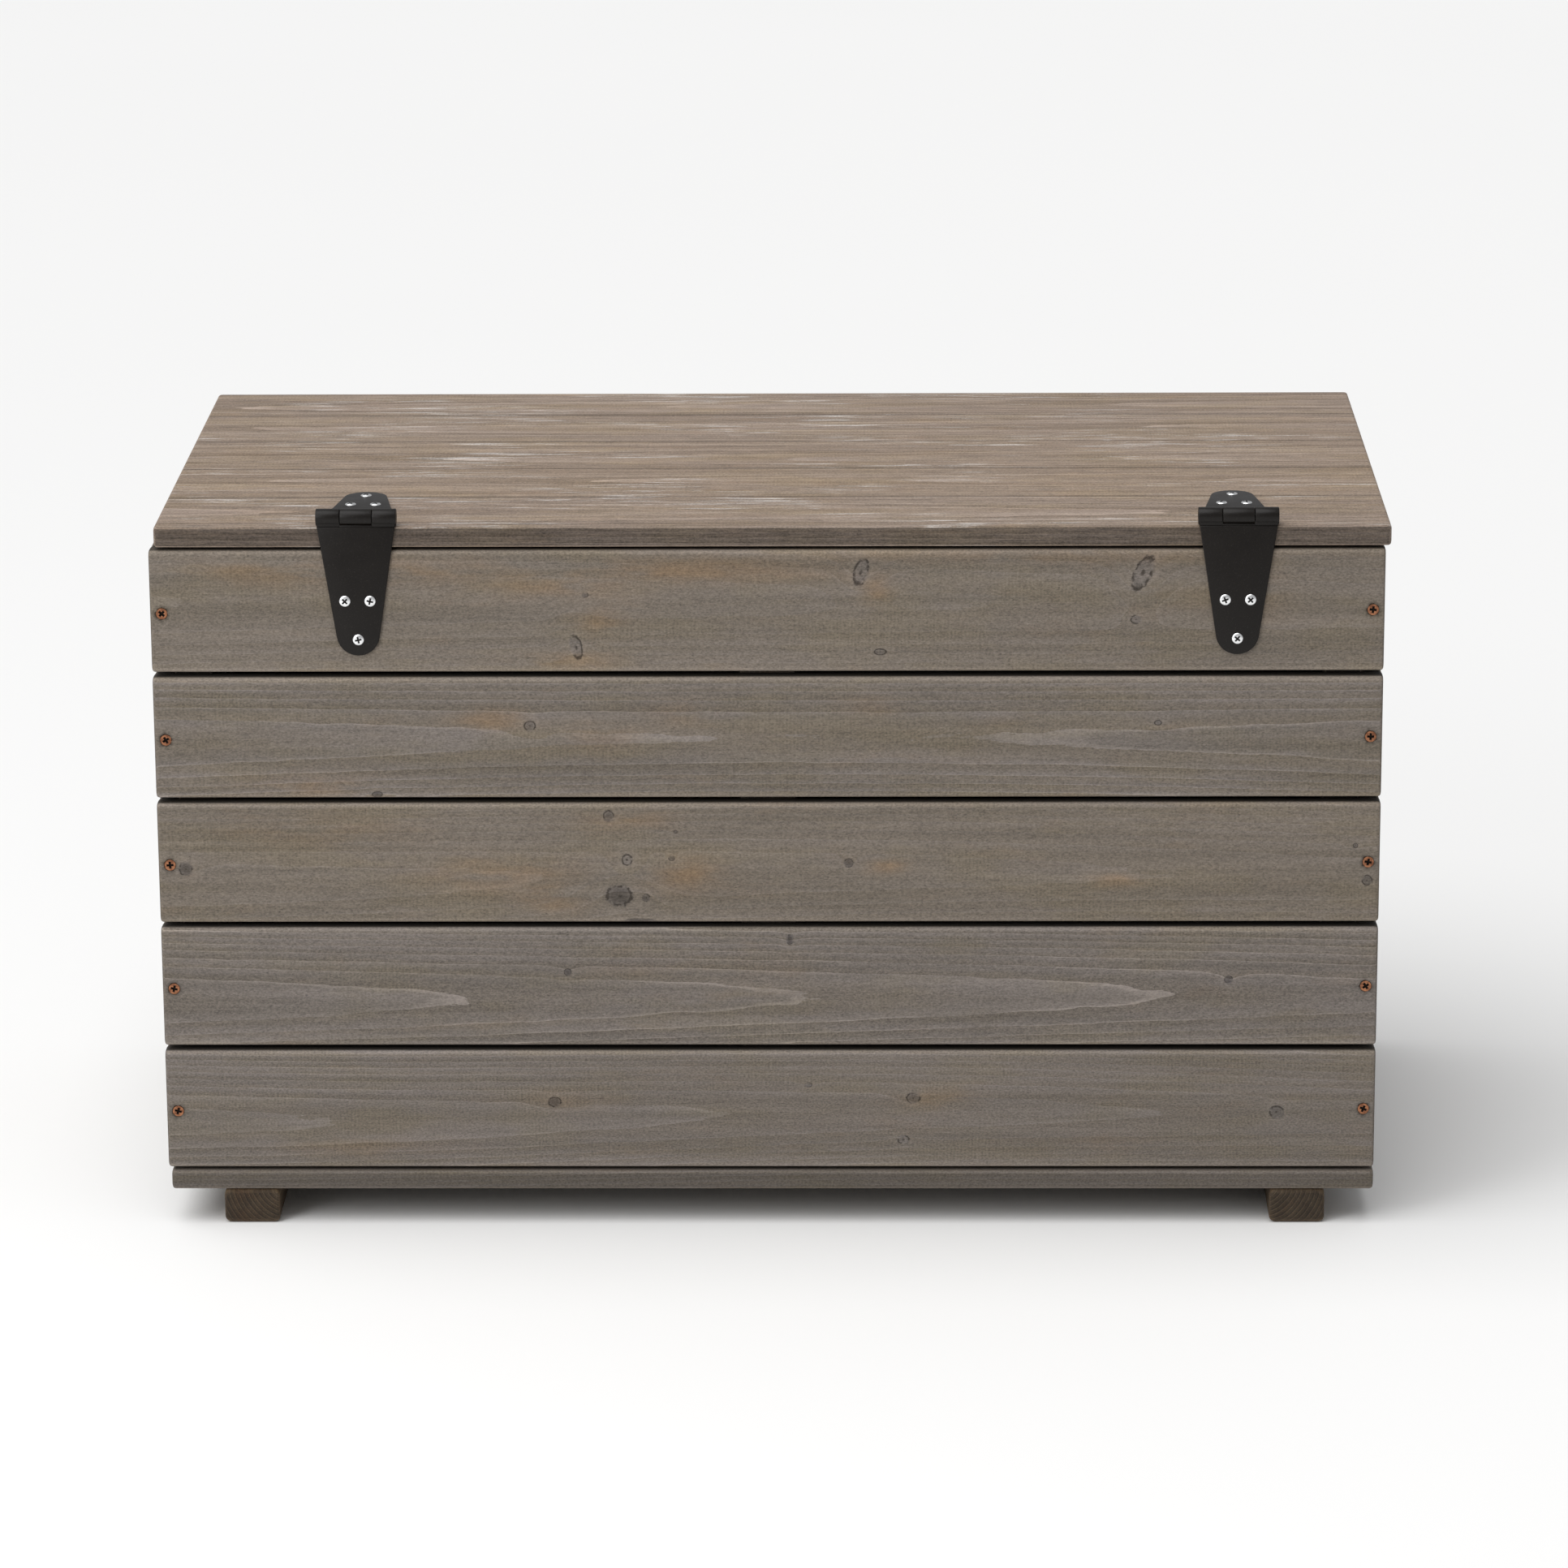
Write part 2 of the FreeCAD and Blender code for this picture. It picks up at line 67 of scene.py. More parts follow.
def placeCamera():
    view = cameraView
    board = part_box("back_board_1")
    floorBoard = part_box("floor_board_1")
    pitch, yaw, roll = (math.radians(view[key]) for key in ("pitch", "yaw", "roll"))
    forward = Vector((-math.sin(yaw) * math.cos(pitch), math.cos(yaw) * math.cos(pitch), -math.sin(pitch)))
    level = Vector((math.cos(yaw), math.sin(yaw), 0))
    down = forward.cross(level)
    right = level * math.cos(roll) + down * math.sin(roll)
    up = right.cross(forward)
    camera = bpy.data.objects.new("camera", bpy.data.cameras.new("camera"))
    scene.collection.objects.link(camera)
    camera.data.lens = view["lens"]
    camera.data.sensor_width = 36
    camera.data.clip_end = 100
    middle = (board[0].x + board[1].x) / 2
    spot = Vector((middle + view["right"], board[0].y - view["distance"], floorBoard[0].z + view["height"]))
    turn = Matrix((right, up, -forward)).transposed().to_4x4()
    camera.matrix_world = Matrix.Translation(spot) @ turn
    scene.camera = camera


studio = {
    "sky": (0.985, 0.99, 1.0),
    "skyStrength": 0.42,
    "sunStrength": 2.15,
    "sunSpread": 62,  # degrees, wide for soft shadows
    "sunFrom": (-0.32, -0.22, 1.0),
    "sidePower": 24,
    "sideSize": 1.2,
    "sideFrom": (-2.0, -2.2, 1.5),
    "floorColour": (0.87, 0.868, 0.862),
    "floorReach": 30,
}


def addLight(name, kind, spot, power):
    light = bpy.data.lights.new(name, kind)
    light.energy = power
    lamp = bpy.data.objects.new(name, light)
    scene.collection.objects.link(lamp)
    lamp.location = spot
    lamp.rotation_euler = (-Vector(spot)).to_track_quat("-Z", "Y").to_euler()
    return light


def lightStudio():
    world = bpy.data.worlds.new("studio")
    world.use_nodes = True
    sky = world.node_tree.nodes["Background"]
    sky.inputs["Color"].default_value = (*studio["sky"], 1)
    sky.inputs["Strength"].default_value = studio["skyStrength"]
    scene.world = world
    scene.view_settings.view_transform = "Standard"
    sun = addLight("overhead", "SUN", studio["sunFrom"], studio["sunStrength"])
    sun.angle = math.radians(studio["sunSpread"])
    side = addLight("side softbox", "AREA", studio["sideFrom"], studio["sidePower"])
    side.shape = "SQUARE"
    side.size = studio["sideSize"]


def put(tree, kind, sockets=None, **settings):
    node = tree.nodes.new(kind)
    for key, value in settings.items():
        setattr(node, key, value)
    for key, value in (sockets or {}).items():
        if isinstance(value, bpy.types.NodeSocket):
            tree.links.new(value, node.inputs[key])
        else:
            node.inputs[key].default_value = value
    return node


def calc(tree, operation, *values, clamp=False):
    node = put(tree, "ShaderNodeMath", dict(enumerate(values)), operation=operation, use_clamp=clamp)
    return node.outputs[0]


def stretched(tree, vector, scale):
    return put(tree, "ShaderNodeVectorMath", {0: vector, 1: scale}, operation="MULTIPLY").outputs[0]


def noise(tree, vector, scale, detail=2.0, roughness=0.5):
    place = stretched(tree, vector, scale)
    sockets = {"Vector": place, "Scale": 1.0, "Detail": detail, "Roughness": roughness}
    return put(tree, "ShaderNodeTexNoise", sockets).outputs["Fac"]


# value goes from 0 at low to 1 at high, with soft ends
def ease(tree, value, low, high):
    sockets = {"Value": value, "From Min": low, "From Max": high}
    return put(tree, "ShaderNodeMapRange", sockets, interpolation_type="SMOOTHSTEP").outputs["Result"]


def blend(tree, amount, first, second, kind="MIX"):
    node = put(tree, "ShaderNodeMix", data_type="RGBA", blend_type=kind)
    for index, value in ((0, amount), (6, first), (7, second)):
        if isinstance(value, bpy.types.NodeSocket):
            tree.links.new(value, node.inputs[index])
        else:
            node.inputs[index].default_value = value if index == 0 else (*value, 1)
    return node.outputs[2]


def newMaterial(name):
    material = bpy.data.materials.new(name)
    material.use_nodes = True
    return material, material.node_tree, material.node_tree.nodes["Principled BSDF"]


def attribute(tree, name, output="Vector"):
    return put(tree, "ShaderNodeAttribute", attribute_name=name).outputs[output]


def split(tree, vector):
    return put(tree, "ShaderNodeSeparateXYZ", {0: vector}).outputs


def addBump(tree, shader, strength, distance, height):
    bump = put(tree, "ShaderNodeBump", {"Strength": strength, "Distance": distance, "Height": height})
    tree.links.new(bump.outputs[0], shader.inputs["Normal"])


wallWood = {
    "dark": (0.150, 0.125, 0.098),
    "light": (0.178, 0.149, 0.121),
    "olive": (1.0, 0.985, 0.90),
    "rust": (1.24, 1.03, 0.80),
    "slate": (0.95, 0.985, 1.09),
    "knot": (0.25, 0.23, 0.21),
    "ring": 0.12,
    "ringLine": 0.22,
    "fibre": 0.48,
    "speckle": 1.5,
    "band": 0.22,
    "chatter": 0.05,
    "chatterPitch": 2.6 * mm,
    "pepper": 0.22,
    "wash": 0.0,
    "washColour": (0.62, 0.60, 0.60),
    # edge: side faces darker, partly stain and partly painted shade in the gaps; arris: painted highlight on
    # rounded arrises; seam: painted shade in tongued seams
    "edge": 0.34,
    "arris": 0.44,
    "seam": -0.6,
    "end": 0.52,
    "endContrast": 1.0,
    "roughness": 0.68,
    "specular": 0.28,
    "bump": 0.35,
}

lidWood = dict(
    wallWood,
    dark=(0.250, 0.184, 0.132),
    light=(0.315, 0.240, 0.178),
    wash=0.8,
    washColour=(0.56, 0.52, 0.49),
    ring=0.26,
    fibre=1.7,
    band=0.30,
    edge=0.36,
    # the lid's arrises get painted shade in place of a highlight
    arris=-0.3,
    chatter=0.03,
)
floorWood = dict(wallWood, edge=0.66, arris=0.0)
runnerWood = dict(
    wallWood,
    dark=(0.082, 0.054, 0.031),
    light=(0.122, 0.084, 0.048),
    rust=(1.5, 1.0, 0.62),
    ring=0.30,
    end=0.44,
    endContrast=1.7,
    edge=0.9,
)

# Patterns in the wood: how often each repeats in a metre along, across and through the grain, then its
# detail and its roughness.
woodPatterns = {
    "fibre": ((46, 1150, 1150), 3, 0.6),
    "speckle": ((560, 1000, 1000), 2, 0.6),
    "band": ((2.6, 90, 90), 4, 0.62),
    "cloud": ((9, 38, 38), 3, 0.6),
    "stain": ((16, 60, 60), 3, 0.6),
    "wobble": ((22, 120, 120), 4, 0.6),
    "pepper": ((330, 700, 700), 2, 0.6),
    "linePatch": ((7, 20, 20), 2, 0.5),
    "streak": ((13, 240, 240), 6, 0.72),
    "washPatch": ((5.5, 22, 22), 2, 0.5),
    "ragged": ((330, 330, 330), 3, 0.6),
    "rimBreaks": ((120, 170, 170), 2, 0.5),
}


# A plank's mesh carries where each point lies in its log. "grain" is along, across and through;
# "rings" is the growth ring, how strongly rings show, and the end grain; "marks" is knots, rust and dark
# stains, with painted shade round sunk screw seats; "edges" is the side faces, darker from stain and from
# painted shade in the gaps, the painted highlight on the rounded arrises, and painted shade in tongued
# seams.
def washedWood(name, look):
    material, tree, shader = newMaterial(name)
    grain = attribute(tree, "grain")
    rings, marks, edges = (split(tree, attribute(tree, key)) for key in ("rings", "marks", "edges"))

    def times(first, second):
        return calc(tree, "MULTIPLY", first, second)

    def timesPlus(value, factor, rest):
        return calc(tree, "MULTIPLY_ADD", value, factor, rest)

    def inverse(value):
        return calc(tree, "SUBTRACT", 1.0, value)

    def centred(value):
        return calc(tree, "SUBTRACT", value, 0.5)

    def soft(value, low, high):
        return ease(tree, value, low, high)

    def pattern(key):
        return noise(tree, grain, *woodPatterns[key])

    def tint(amount, base, key):
        return blend(tree, amount, base, look[key], "MULTIPLY")

    fibre, speckle, band = pattern("fibre"), pattern("speckle"), pattern("band")
    cloud, stain, wobble = pattern("cloud"), pattern("stain"), pattern("wobble")
    pepper = soft(pattern("pepper"), 0.63, 0.73)

    # growth rings: each climbs from pale early wood to a bluish late wood that a thin pale line ends
    phase = timesPlus(centred(wobble), 0.34, rings[0])
    withinRing = calc(tree, "FRACT", phase)
    ringNumber = calc(tree, "FLOOR", phase)
    ringDice = put(tree, "ShaderNodeTexWhiteNoise", {"W": ringNumber}, noise_dimensions="1D")
    climb = calc(tree, "POWER", withinRing, 1.8)
    lineOn = times(soft(withinRing, 0.90, 0.97), soft(pattern("linePatch"), 0.36, 0.56))
    ringShade = times(calc(tree, "SUBTRACT", climb, 0.36), look["ring"])
    ringShade = timesPlus(centred(ringDice.outputs["Value"]), look["ring"] * 0.7, ringShade)
    ringShade = timesPlus(lineOn, look["ringLine"], ringShade)
    shade = timesPlus(ringShade, rings[1], 1.0)
    for spots, amount in ((fibre, look["fibre"]), (speckle, look["speckle"]), (band, look["band"])):
        shade = timesPlus(centred(spots), amount, shade)

    # cutter marks from the planer, in patches, and dark flecks
    turn = timesPlus(wobble, 5.0, times(split(tree, grain)[0], 2 * math.pi / look["chatterPitch"]))
    chatter = times(calc(tree, "SINE", turn), soft(cloud, 0.46, 0.60))
    shade = timesPlus(chatter, look["chatter"], shade)
    shade = timesPlus(pepper, -look["pepper"], shade)

    colour = blend(tree, soft(band, 0.3, 0.7), look["dark"], look["light"])
    colour = tint(times(soft(cloud, 0.44, 0.66), 0.9), colour, "olive")
    rust = times(soft(stain, 0.55, 0.74), 0.16)
    rust = calc(tree, "ADD", rust, times(marks[1], soft(stain, 0.30, 0.62)), clamp=True)
    colour = tint(rust, colour, "rust")
    slate = timesPlus(climb, rings[1], attribute(tree, "tone", "Fac"))
    colour = tint(times(slate, 0.8), colour, "slate")

    # white wash left along the fibres
    if look["wash"]:
        wash = times(soft(pattern("streak"), 0.545, 0.60), soft(pattern("washPatch"), 0.49, 0.60))
        wash = times(wash, timesPlus(edges[0], -look["wash"], look["wash"]))
        colour = blend(tree, wash, colour, look["washColour"])

    # knots: a broken dark rim, a greyer heart, and a dark pith
    knot = timesPlus(centred(pattern("ragged")), 0.55, marks[0])
    heart = inverse(soft(knot, 0.75, 1.25))
    rim = times(soft(knot, 0.60, 0.88), inverse(soft(knot, 0.92, 1.12)))
    rim = times(rim, soft(pattern("rimBreaks"), 0.38, 0.52))
    pith = inverse(soft(knot, 0.08, 0.34))
    halo = times(soft(knot, 0.9, 1.1), inverse(soft(knot, 1.2, 2.2)))
    colour = tint(times(heart, 0.75), colour, "slate")
    shade = timesPlus(halo, 0.07, timesPlus(heart, 0.02, shade))
    darkness = calc(tree, "MAXIMUM", times(rim, 0.95), times(pith, 0.90))
    # marks[2] holds the knots' dark stains and the painted shade round screw seats
    darkness = calc(tree, "MAXIMUM", darkness, marks[2], clamp=True)
    colour = tint(darkness, colour, "knot")

    # edges are darker, partly from the stain and partly as painted shade in the gaps between boards; arrises
    # get a painted highlight (on the lid, painted shade); seams get painted shade; end grain is darkest,
    # with its rings plain
    for place, amount in zip(edges[:3], (look["edge"] - 1.0, look["arris"], look["seam"])):
        shade = times(shade, timesPlus(place, amount, 1.0))
    contrast = look["endContrast"]
    endRing = timesPlus(climb, -0.60 * contrast, 1.0 + 0.1 * contrast)
    endRing = calc(tree, "ADD", endRing, times(soft(withinRing, 0.80, 0.95), 0.75 * contrast))
    endShade = calc(tree, "SUBTRACT", times(endRing, look["end"]), 1.0)
    shade = times(shade, timesPlus(rings[2], endShade, 1.0))
    colour = blend(tree, 1.0, colour, shade, "MULTIPLY")
    tree.links.new(colour, shader.inputs["Base Color"])

    rough = timesPlus(fibre, 0.24, look["roughness"] - 0.12)
    tree.links.new(rough, shader.inputs["Roughness"])
    shader.inputs["Specular IOR Level"].default_value = look["specular"]
    height = timesPlus(speckle, 0.6, fibre)
    height = timesPlus(chatter, 0.05, height)
    height = timesPlus(rim, -0.8, height)
    addBump(tree, shader, look["bump"], 0.5 * mm, height)
    return material


plankShape = {
    "arris": 3.5 * mm,
    "seamRound": 0.8 * mm,
    "endRound": 2.2 * mm,
    "lidCorner": 4.0 * mm,
    "tongue": 6.0 * mm,
    "tongueThickness": 5.0 * mm,
    "groove": 6.4 * mm,
    "grooveThickness": 5.2 * mm,
    "showStep": 4.5 * mm,
    "plainStep": 8.0 * mm,
    "knotStep": 1.1 * mm,
    "seatStep": 0.55 * mm,
    "seatWall": 0.35 * mm,
    "seatRim": 0.6 * mm,  # below the rim of a screw's head
    "seatWell": 1.8 * mm,  # deeper again below its cross
}


# Lines across a face: an even step, and closer ones round each spot (centre, reach, step).
def gridLines(low, high, step, spots=()):
    lines = set(np.linspace(low, high, max(2, round((high - low) / step) + 1)))
    for centre, reach, fine in spots:
        lines.update(np.arange(centre - reach, centre + reach + fine / 2, fine))
    kept = []
    for line in sorted(line for line in lines if low <= line <= high):
        if not kept or line - kept[-1] > 0.25 * mm:
            kept.append(float(line))
    kept[-1] = high
    return kept


# A square corner of a section, rounded: points nearer the corner than the radius move onto its arc.
def roundCorner(a, b, cornerA, cornerB, radius, signA, signB):
    u = 1 - (cornerA - a) * signA / radius
    v = 1 - (cornerB - b) * signB / radius
    inside = (u > 0) & (v > 0) & (u < 1.0001) & (v < 1.0001)
    reach = np.maximum(u, v) / np.maximum(np.hypot(u, v), 1e-9)
    newA = cornerA - radius * signA * (1 - u * reach)
    newB = cornerB - radius * signB * (1 - v * reach)
    return np.where(inside, newA, a), np.where(inside, newB, b)


def makePlank(name, node, along, across, material, growth, ends, step, seats=(), endRound=None, corner=None):
    shape = plankShape
    lo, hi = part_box(node)
    sAxis, aAxis = Vector(along), Vector(across)
    bAxis = sAxis.cross(aAxis)
    size = hi - lo
    length, width, thick = (abs(size.dot(axis)) for axis in (sAxis, aAxis, bAxis))
    origin = (lo + hi) / 2 + bAxis * (thick / 2)
    endRound = shape["endRound"] if endRound is None else endRound
    corner = endRound if corner is None else corner

    # the section: a grid of cells in a (across) and b (through), with b = 0 on the show face
    lowKind, highKind = ends  # "free", "groove" or "tongue"
    aLow = -width / 2 + (shape["tongue"] if lowKind == "tongue" else 0)
    aHigh = width / 2 - (shape["tongue"] if highKind == "tongue" else 0)
    lowRound = min(growth["arris"], thick / 2.2) if lowKind == "free" else shape["seamRound"]
    highRound = min(growth["arris"], thick / 2.2) if highKind == "free" else shape["seamRound"]
    knots = growth["knots"]
    spotsS = [(k["s"] * mm, 1.6 * max(k["size"]) * mm, shape["knotStep"]) for k in knots]
    spotsA = [(k["a"] * mm, 1.6 * max(k["size"]) * mm, shape["knotStep"]) for k in knots]
    seatSpots = []
    for seat in seats:
        offset = seat["rim"] - origin
        seatSpots.append((offset.dot(sAxis), offset.dot(aAxis), seat["radius"], -offset.dot(bAxis)))
    for s, a, radius, depth in seatSpots:
        spotsS.append((s, radius * 1.5, shape["seatStep"]))
        spotsA.append((a, radius * 1.5, shape["seatStep"]))
    aLines = gridLines(aLow, aHigh, step, spotsA)
    for at, radius, sign in ((aLow, lowRound, 1), (aHigh, highRound, -1)):
        aLines = [line for line in aLines if abs(line - at) > radius * 1.05]
        aLines += [at + sign * radius * part for part in (0, 0.25, 0.5, 0.75, 1)]
    if lowKind == "tongue":
        aLines.append(-width / 2)
    if highKind == "tongue":
        aLines.append(width / 2)
    for kind, foot in ((lowKind, aLow + shape["groove"]), (highKind, aHigh - shape["groove"])):
        if kind == "groove":
            aLines = [line for line in aLines if abs(line - foot) > 0.4 * mm] + [foot]
    aLines = np.array(sorted(aLines))
    jointed = lowKind != "free" or highKind != "free"
    half = thick / 2
    roundest = max(lowRound, highRound)
    depths = [roundest * part for part in (0, 0.25, 0.5, 0.75, 1)]
    if jointed:
        depths = sorted(set(depths + [shape["seamRound"] * part for part in (0.25, 0.5, 0.75, 1)]))
        depths = [depth for depth in depths if depth < half - shape["grooveThickness"] / 2 - 0.3 * mm]
        depths += [half - shape["grooveThickness"] / 2, half - shape["tongueThickness"] / 2]
    else:
        depths.append(half)
    bSet = {round(-depth, 7) for depth in depths} | {round(depth - thick, 7) for depth in depths}
    bLines = np.array(sorted(bSet, reverse=True))
    gridA, gridB = np.meshgrid(aLines, bLines, indexing="ij")
    for at, radius, signA in ((aLow, lowRound, -1), (aHigh, highRound, 1)):
        for face, signB in ((0.0, 1), (-thick, -1)):
            gridA, gridB = roundCorner(gridA, gridB, at, face, radius, signA, signB)
    cells = []
    for i in range(len(aLines) - 1):
        a = (aLines[i] + aLines[i + 1]) / 2
        for j in range(len(bLines) - 1):
            offMiddle = abs((bLines[j] + bLines[j + 1]) / 2 + half)
            solid = aLow < a < aHigh
            inGroove = offMiddle < shape["grooveThickness"] / 2
            if lowKind == "groove" and a < aLow + shape["groove"] and inGroove:
                solid = False
            if highKind == "groove" and a > aHigh - shape["groove"] and inGroove:
                solid = False
            if not aLow < a < aHigh:
                solid = offMiddle < shape["tongueThickness"] / 2
            if solid:
                cells.append(((i, j), (i + 1, j), (i + 1, j + 1), (i, j + 1)))
    sides = {}
    for cell in cells:
        for p, q in zip(cell, cell[1:] + cell[:1]):
            if (q, p) in sides:
                del sides[(q, p)]
            else:
                sides[(p, q)] = True
    rim = sorted({point for side in sides for point in side})
    inner = sorted({point for cell in cells for point in cell} - set(rim))
    rimIndex = {point: index for index, point in enumerate(rim)}
    innerIndex = {point: index for index, point in enumerate(inner)}

    # the length: closer lines at both ends, where the section draws in
    reach = max(endRound, corner)
    sLines = gridLines(-length / 2, length / 2, step * 1.6, spotsS)
    sLines = [line for line in sLines if abs(line) < length / 2 - reach * 1.05]
    for part in (0, 0.12, 0.3, 0.55, 1):
        sLines += [-length / 2 + reach * part, length / 2 - reach * part]
    sLines = np.array(sorted(sLines))

    def drawIn(distance, radius):
        short = np.clip(radius - distance, 0, radius)
        return radius - np.sqrt(np.maximum(radius**2 - short**2, 0))

    if lowKind == "free" and highKind == "free":
        anchor, spread = (aLow + aHigh) / 2, (aHigh - aLow) / 2
    elif lowKind == "free":
        anchor, spread = aHigh, aHigh - aLow
    elif highKind == "free":
        anchor, spread = aLow, aHigh - aLow
    else:
        anchor, spread = 0.0, 1e9
    distance = length / 2 - np.abs(sLines)
    pullA = drawIn(distance, corner) / spread
    pullB = drawIn(distance, endRound) / half

    def sweep(points, at):
        a = np.array([gridA[i, j] for i, j in points])
        b = np.array([gridB[i, j] for i, j in points])
        s = np.repeat(sLines[at], len(points))
        pa = np.repeat(pullA[at], len(points))
        pb = np.repeat(pullB[at], len(points))
        a = np.tile(a, len(at))
        b = np.tile(b, len(at))
        a = anchor + (a - anchor) * (1 - pa)
        b = -half + (b + half) * (1 - pb)
        return s, a, b

    count, last = len(rim), len(sLines) - 1
    s, a, b = sweep(rim, np.arange(len(sLines)))
    faces = []
    for p, q in sides:
        lower = np.arange(last) * count
        first, second = lower + rimIndex[p], lower + rimIndex[q]
        faces += np.stack([first, second, second + count, first + count], 1).tolist()
    start = len(s)
    capParts = [sweep(inner, np.array([0])), sweep(inner, np.array([last]))] if inner else []
    for part in capParts:
        s, a, b = (np.concatenate(pair) for pair in zip((s, a, b), part))
    for end, base in ((0, start), (last, start + len(inner))):
        for cell in cells:
            corners = [end * count + rimIndex[c] if c in rimIndex else base + innerIndex[c] for c in cell]
            faces.append(corners if end == 0 else corners[::-1])

    # attributes, from where each point lay before any screw seat was sunk
    fields = growthFields(s, a, b, growth, length, (aLow, aHigh), (lowKind, highKind), thick)
    raggedness = random.Random(name)
    for seatS, seatA, radius, depth in seatSpots:
        away = np.hypot(s - seatS, a - seatA)
        angle = np.arctan2(a - seatA, s - seatS)
        torn = np.full(len(s), 1.05)
        for lobes in (2, 3, 5, 8):
            depthOfLobes = raggedness.uniform(0.02, 0.07)
            torn += depthOfLobes * np.sin(angle * lobes + raggedness.uniform(0, 6.28))
        torn *= radius
        wall = np.clip((torn + shape["seatWall"] - away) / shape["seatWall"], 0, 1)
        onFace = b > -0.3 * mm
        underHead = np.clip((radius * 0.9 - away) / (0.3 * mm), 0, 1)
        sunk = wall * (depth + shape["seatRim"]) + underHead * shape["seatWell"]
        b = np.where(onFace, b - sunk, b)
        # the wood in and round each sunk screw seat is darkened in the dark marks: painted shade round the
        # screw head
        dark = fields["marks"][:, 2]
        dark[onFace] = np.maximum(dark, np.clip(1.6 - away / torn, 0, 0.6))[onFace]

    corners = np.outer(s, sAxis) + np.outer(a, aAxis) + np.outer(b, bAxis) + np.array(origin)
    mesh = bpy.data.meshes.new(name)
    mesh.from_pydata(corners.tolist(), [], faces)
    for key, values in fields.items():
        kind = "FLOAT_VECTOR" if values.ndim == 2 else "FLOAT"
        layer = mesh.attributes.new(key, kind, "POINT")
        layer.data.foreach_set("vector" if values.ndim == 2 else "value", values.astype(np.float32).ravel())
    built = bmesh.new()
    built.from_mesh(mesh)
    bmesh.ops.recalc_face_normals(built, faces=built.faces)
    built.to_mesh(mesh)
    built.free()
    mesh.shade_smooth()
    mesh.set_sharp_from_angle(angle=math.radians(50))
    mesh.materials.append(material)
    return finishPiece(name, mesh, node)


def finishPiece(name, mesh, *replaced):
    piece = bpy.data.objects.new(name, mesh)
    scene.collection.objects.link(piece)
    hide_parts(*replaced)
    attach(piece, bodyOf[replaced[0]])
    return piece


slotOf = {part["node"]: part["material_slot"] for part in frame["record"]["subparts"]}


# Where every point of a plank lies in the tree it was sawn from, with the knots and stains on it.
def growthFields(s, a, b, growth, length, sides, kinds, thick):
    heart = growth["heart"] * mm + growth["wander"] * mm * np.sin(s * growth["wave"] + growth["seed"])
    depth = growth["depth"] * mm
    around = np.hypot(a - heart, b + depth) - depth
    fromTip = s - growth["tip"] * mm
    rise = growth["taper"] * fromTip - growth["bow"] * fromTip**2
    phase = (around + rise) / (growth["spacing"] * mm) + 50 + growth["offset"]
    nearest = np.full(len(s), 4.0)
    rust = np.zeros(len(s))
    dark = np.zeros(len(s))
    for knot in growth["knots"]:
        lean = math.radians(knot["lean"])
        wide, tall = (reach * mm for reach in knot["size"])
        ds, da = s - knot["s"] * mm, a - knot["a"] * mm
        away = np.hypot(
            (ds * math.cos(lean) + da * math.sin(lean)) / wide,
            (da * math.cos(lean) - ds * math.sin(lean)) / tall,
        )
        nearest = np.minimum(nearest, away)
        phase += knot["push"] * np.exp(-((ds / (wide * 3.5)) ** 2) - (da / (tall * 2.2)) ** 2)
        dark = np.maximum(dark, knot["dark"] * np.clip(1.7 - 1.3 * away, 0, 1))
    for stainS, stainA, wide, tall, strength in growth["stains"]:
        away = np.hypot((s - stainS * mm) / (wide * mm), (a - stainA * mm) / (tall * mm))
        rust = np.maximum(rust, strength * np.exp(-(away**2)))
    fromLow, fromHigh = a - sides[0], sides[1] - a
    fromSide = np.minimum(fromLow, fromHigh)
    onFace = np.minimum(np.abs(b), np.abs(b + thick))
    corner = growth["arris"]
    # side faces darker, partly stain and partly painted shade in the gaps between boards; the arris mask
    # places a painted highlight on rounded arrises; the seam mask places painted shade in tongued seams
    side = np.clip(1.6 - fromSide / (1.2 * mm), 0, 1) * np.clip((onFace / corner - 0.40) / 0.35, 0, 1)
    arris = np.exp(-((fromSide / corner - 0.45) / 0.55) ** 2) * np.clip(1.15 - onFace / (corner * 0.7), 0, 1)
    seam = np.zeros(len(s))
    for kind, distance in zip(kinds, (fromLow, fromHigh)):
        if kind != "free":
            seam = np.maximum(seam, np.clip(1.15 - distance / (1.0 * mm), 0, 1))
            arris = np.where(distance < 4 * mm, 0, arris)
    end = np.clip(1 - (length / 2 - np.abs(s)) / (1.0 * mm), 0, 1)
    shift = growth["seed"] * 1.37
    strength = np.interp(s, (-0.28, -0.05), (growth["strength"], growth["strengthRight"]))
    return {
        "grain": np.stack([s + shift, a + shift * 0.31, b - shift * 0.17], 1),
        "tone": np.full(len(s), growth["tone"]),
        "rings": np.stack([phase, strength, end], 1),
        "marks": np.stack([nearest, rust, dark], 1),
        "edges": np.stack([side, arris, seam], 1),
    }


# A knot's place and size, how dark it is, its lean in degrees, and how many rings it pushes aside.
def knotAt(s, a, wide, tall, dark=0.0, lean=0, push=0.4):
    return {"s": s, "a": a, "size": (wide, tall), "dark": dark, "lean": lean, "push": push}


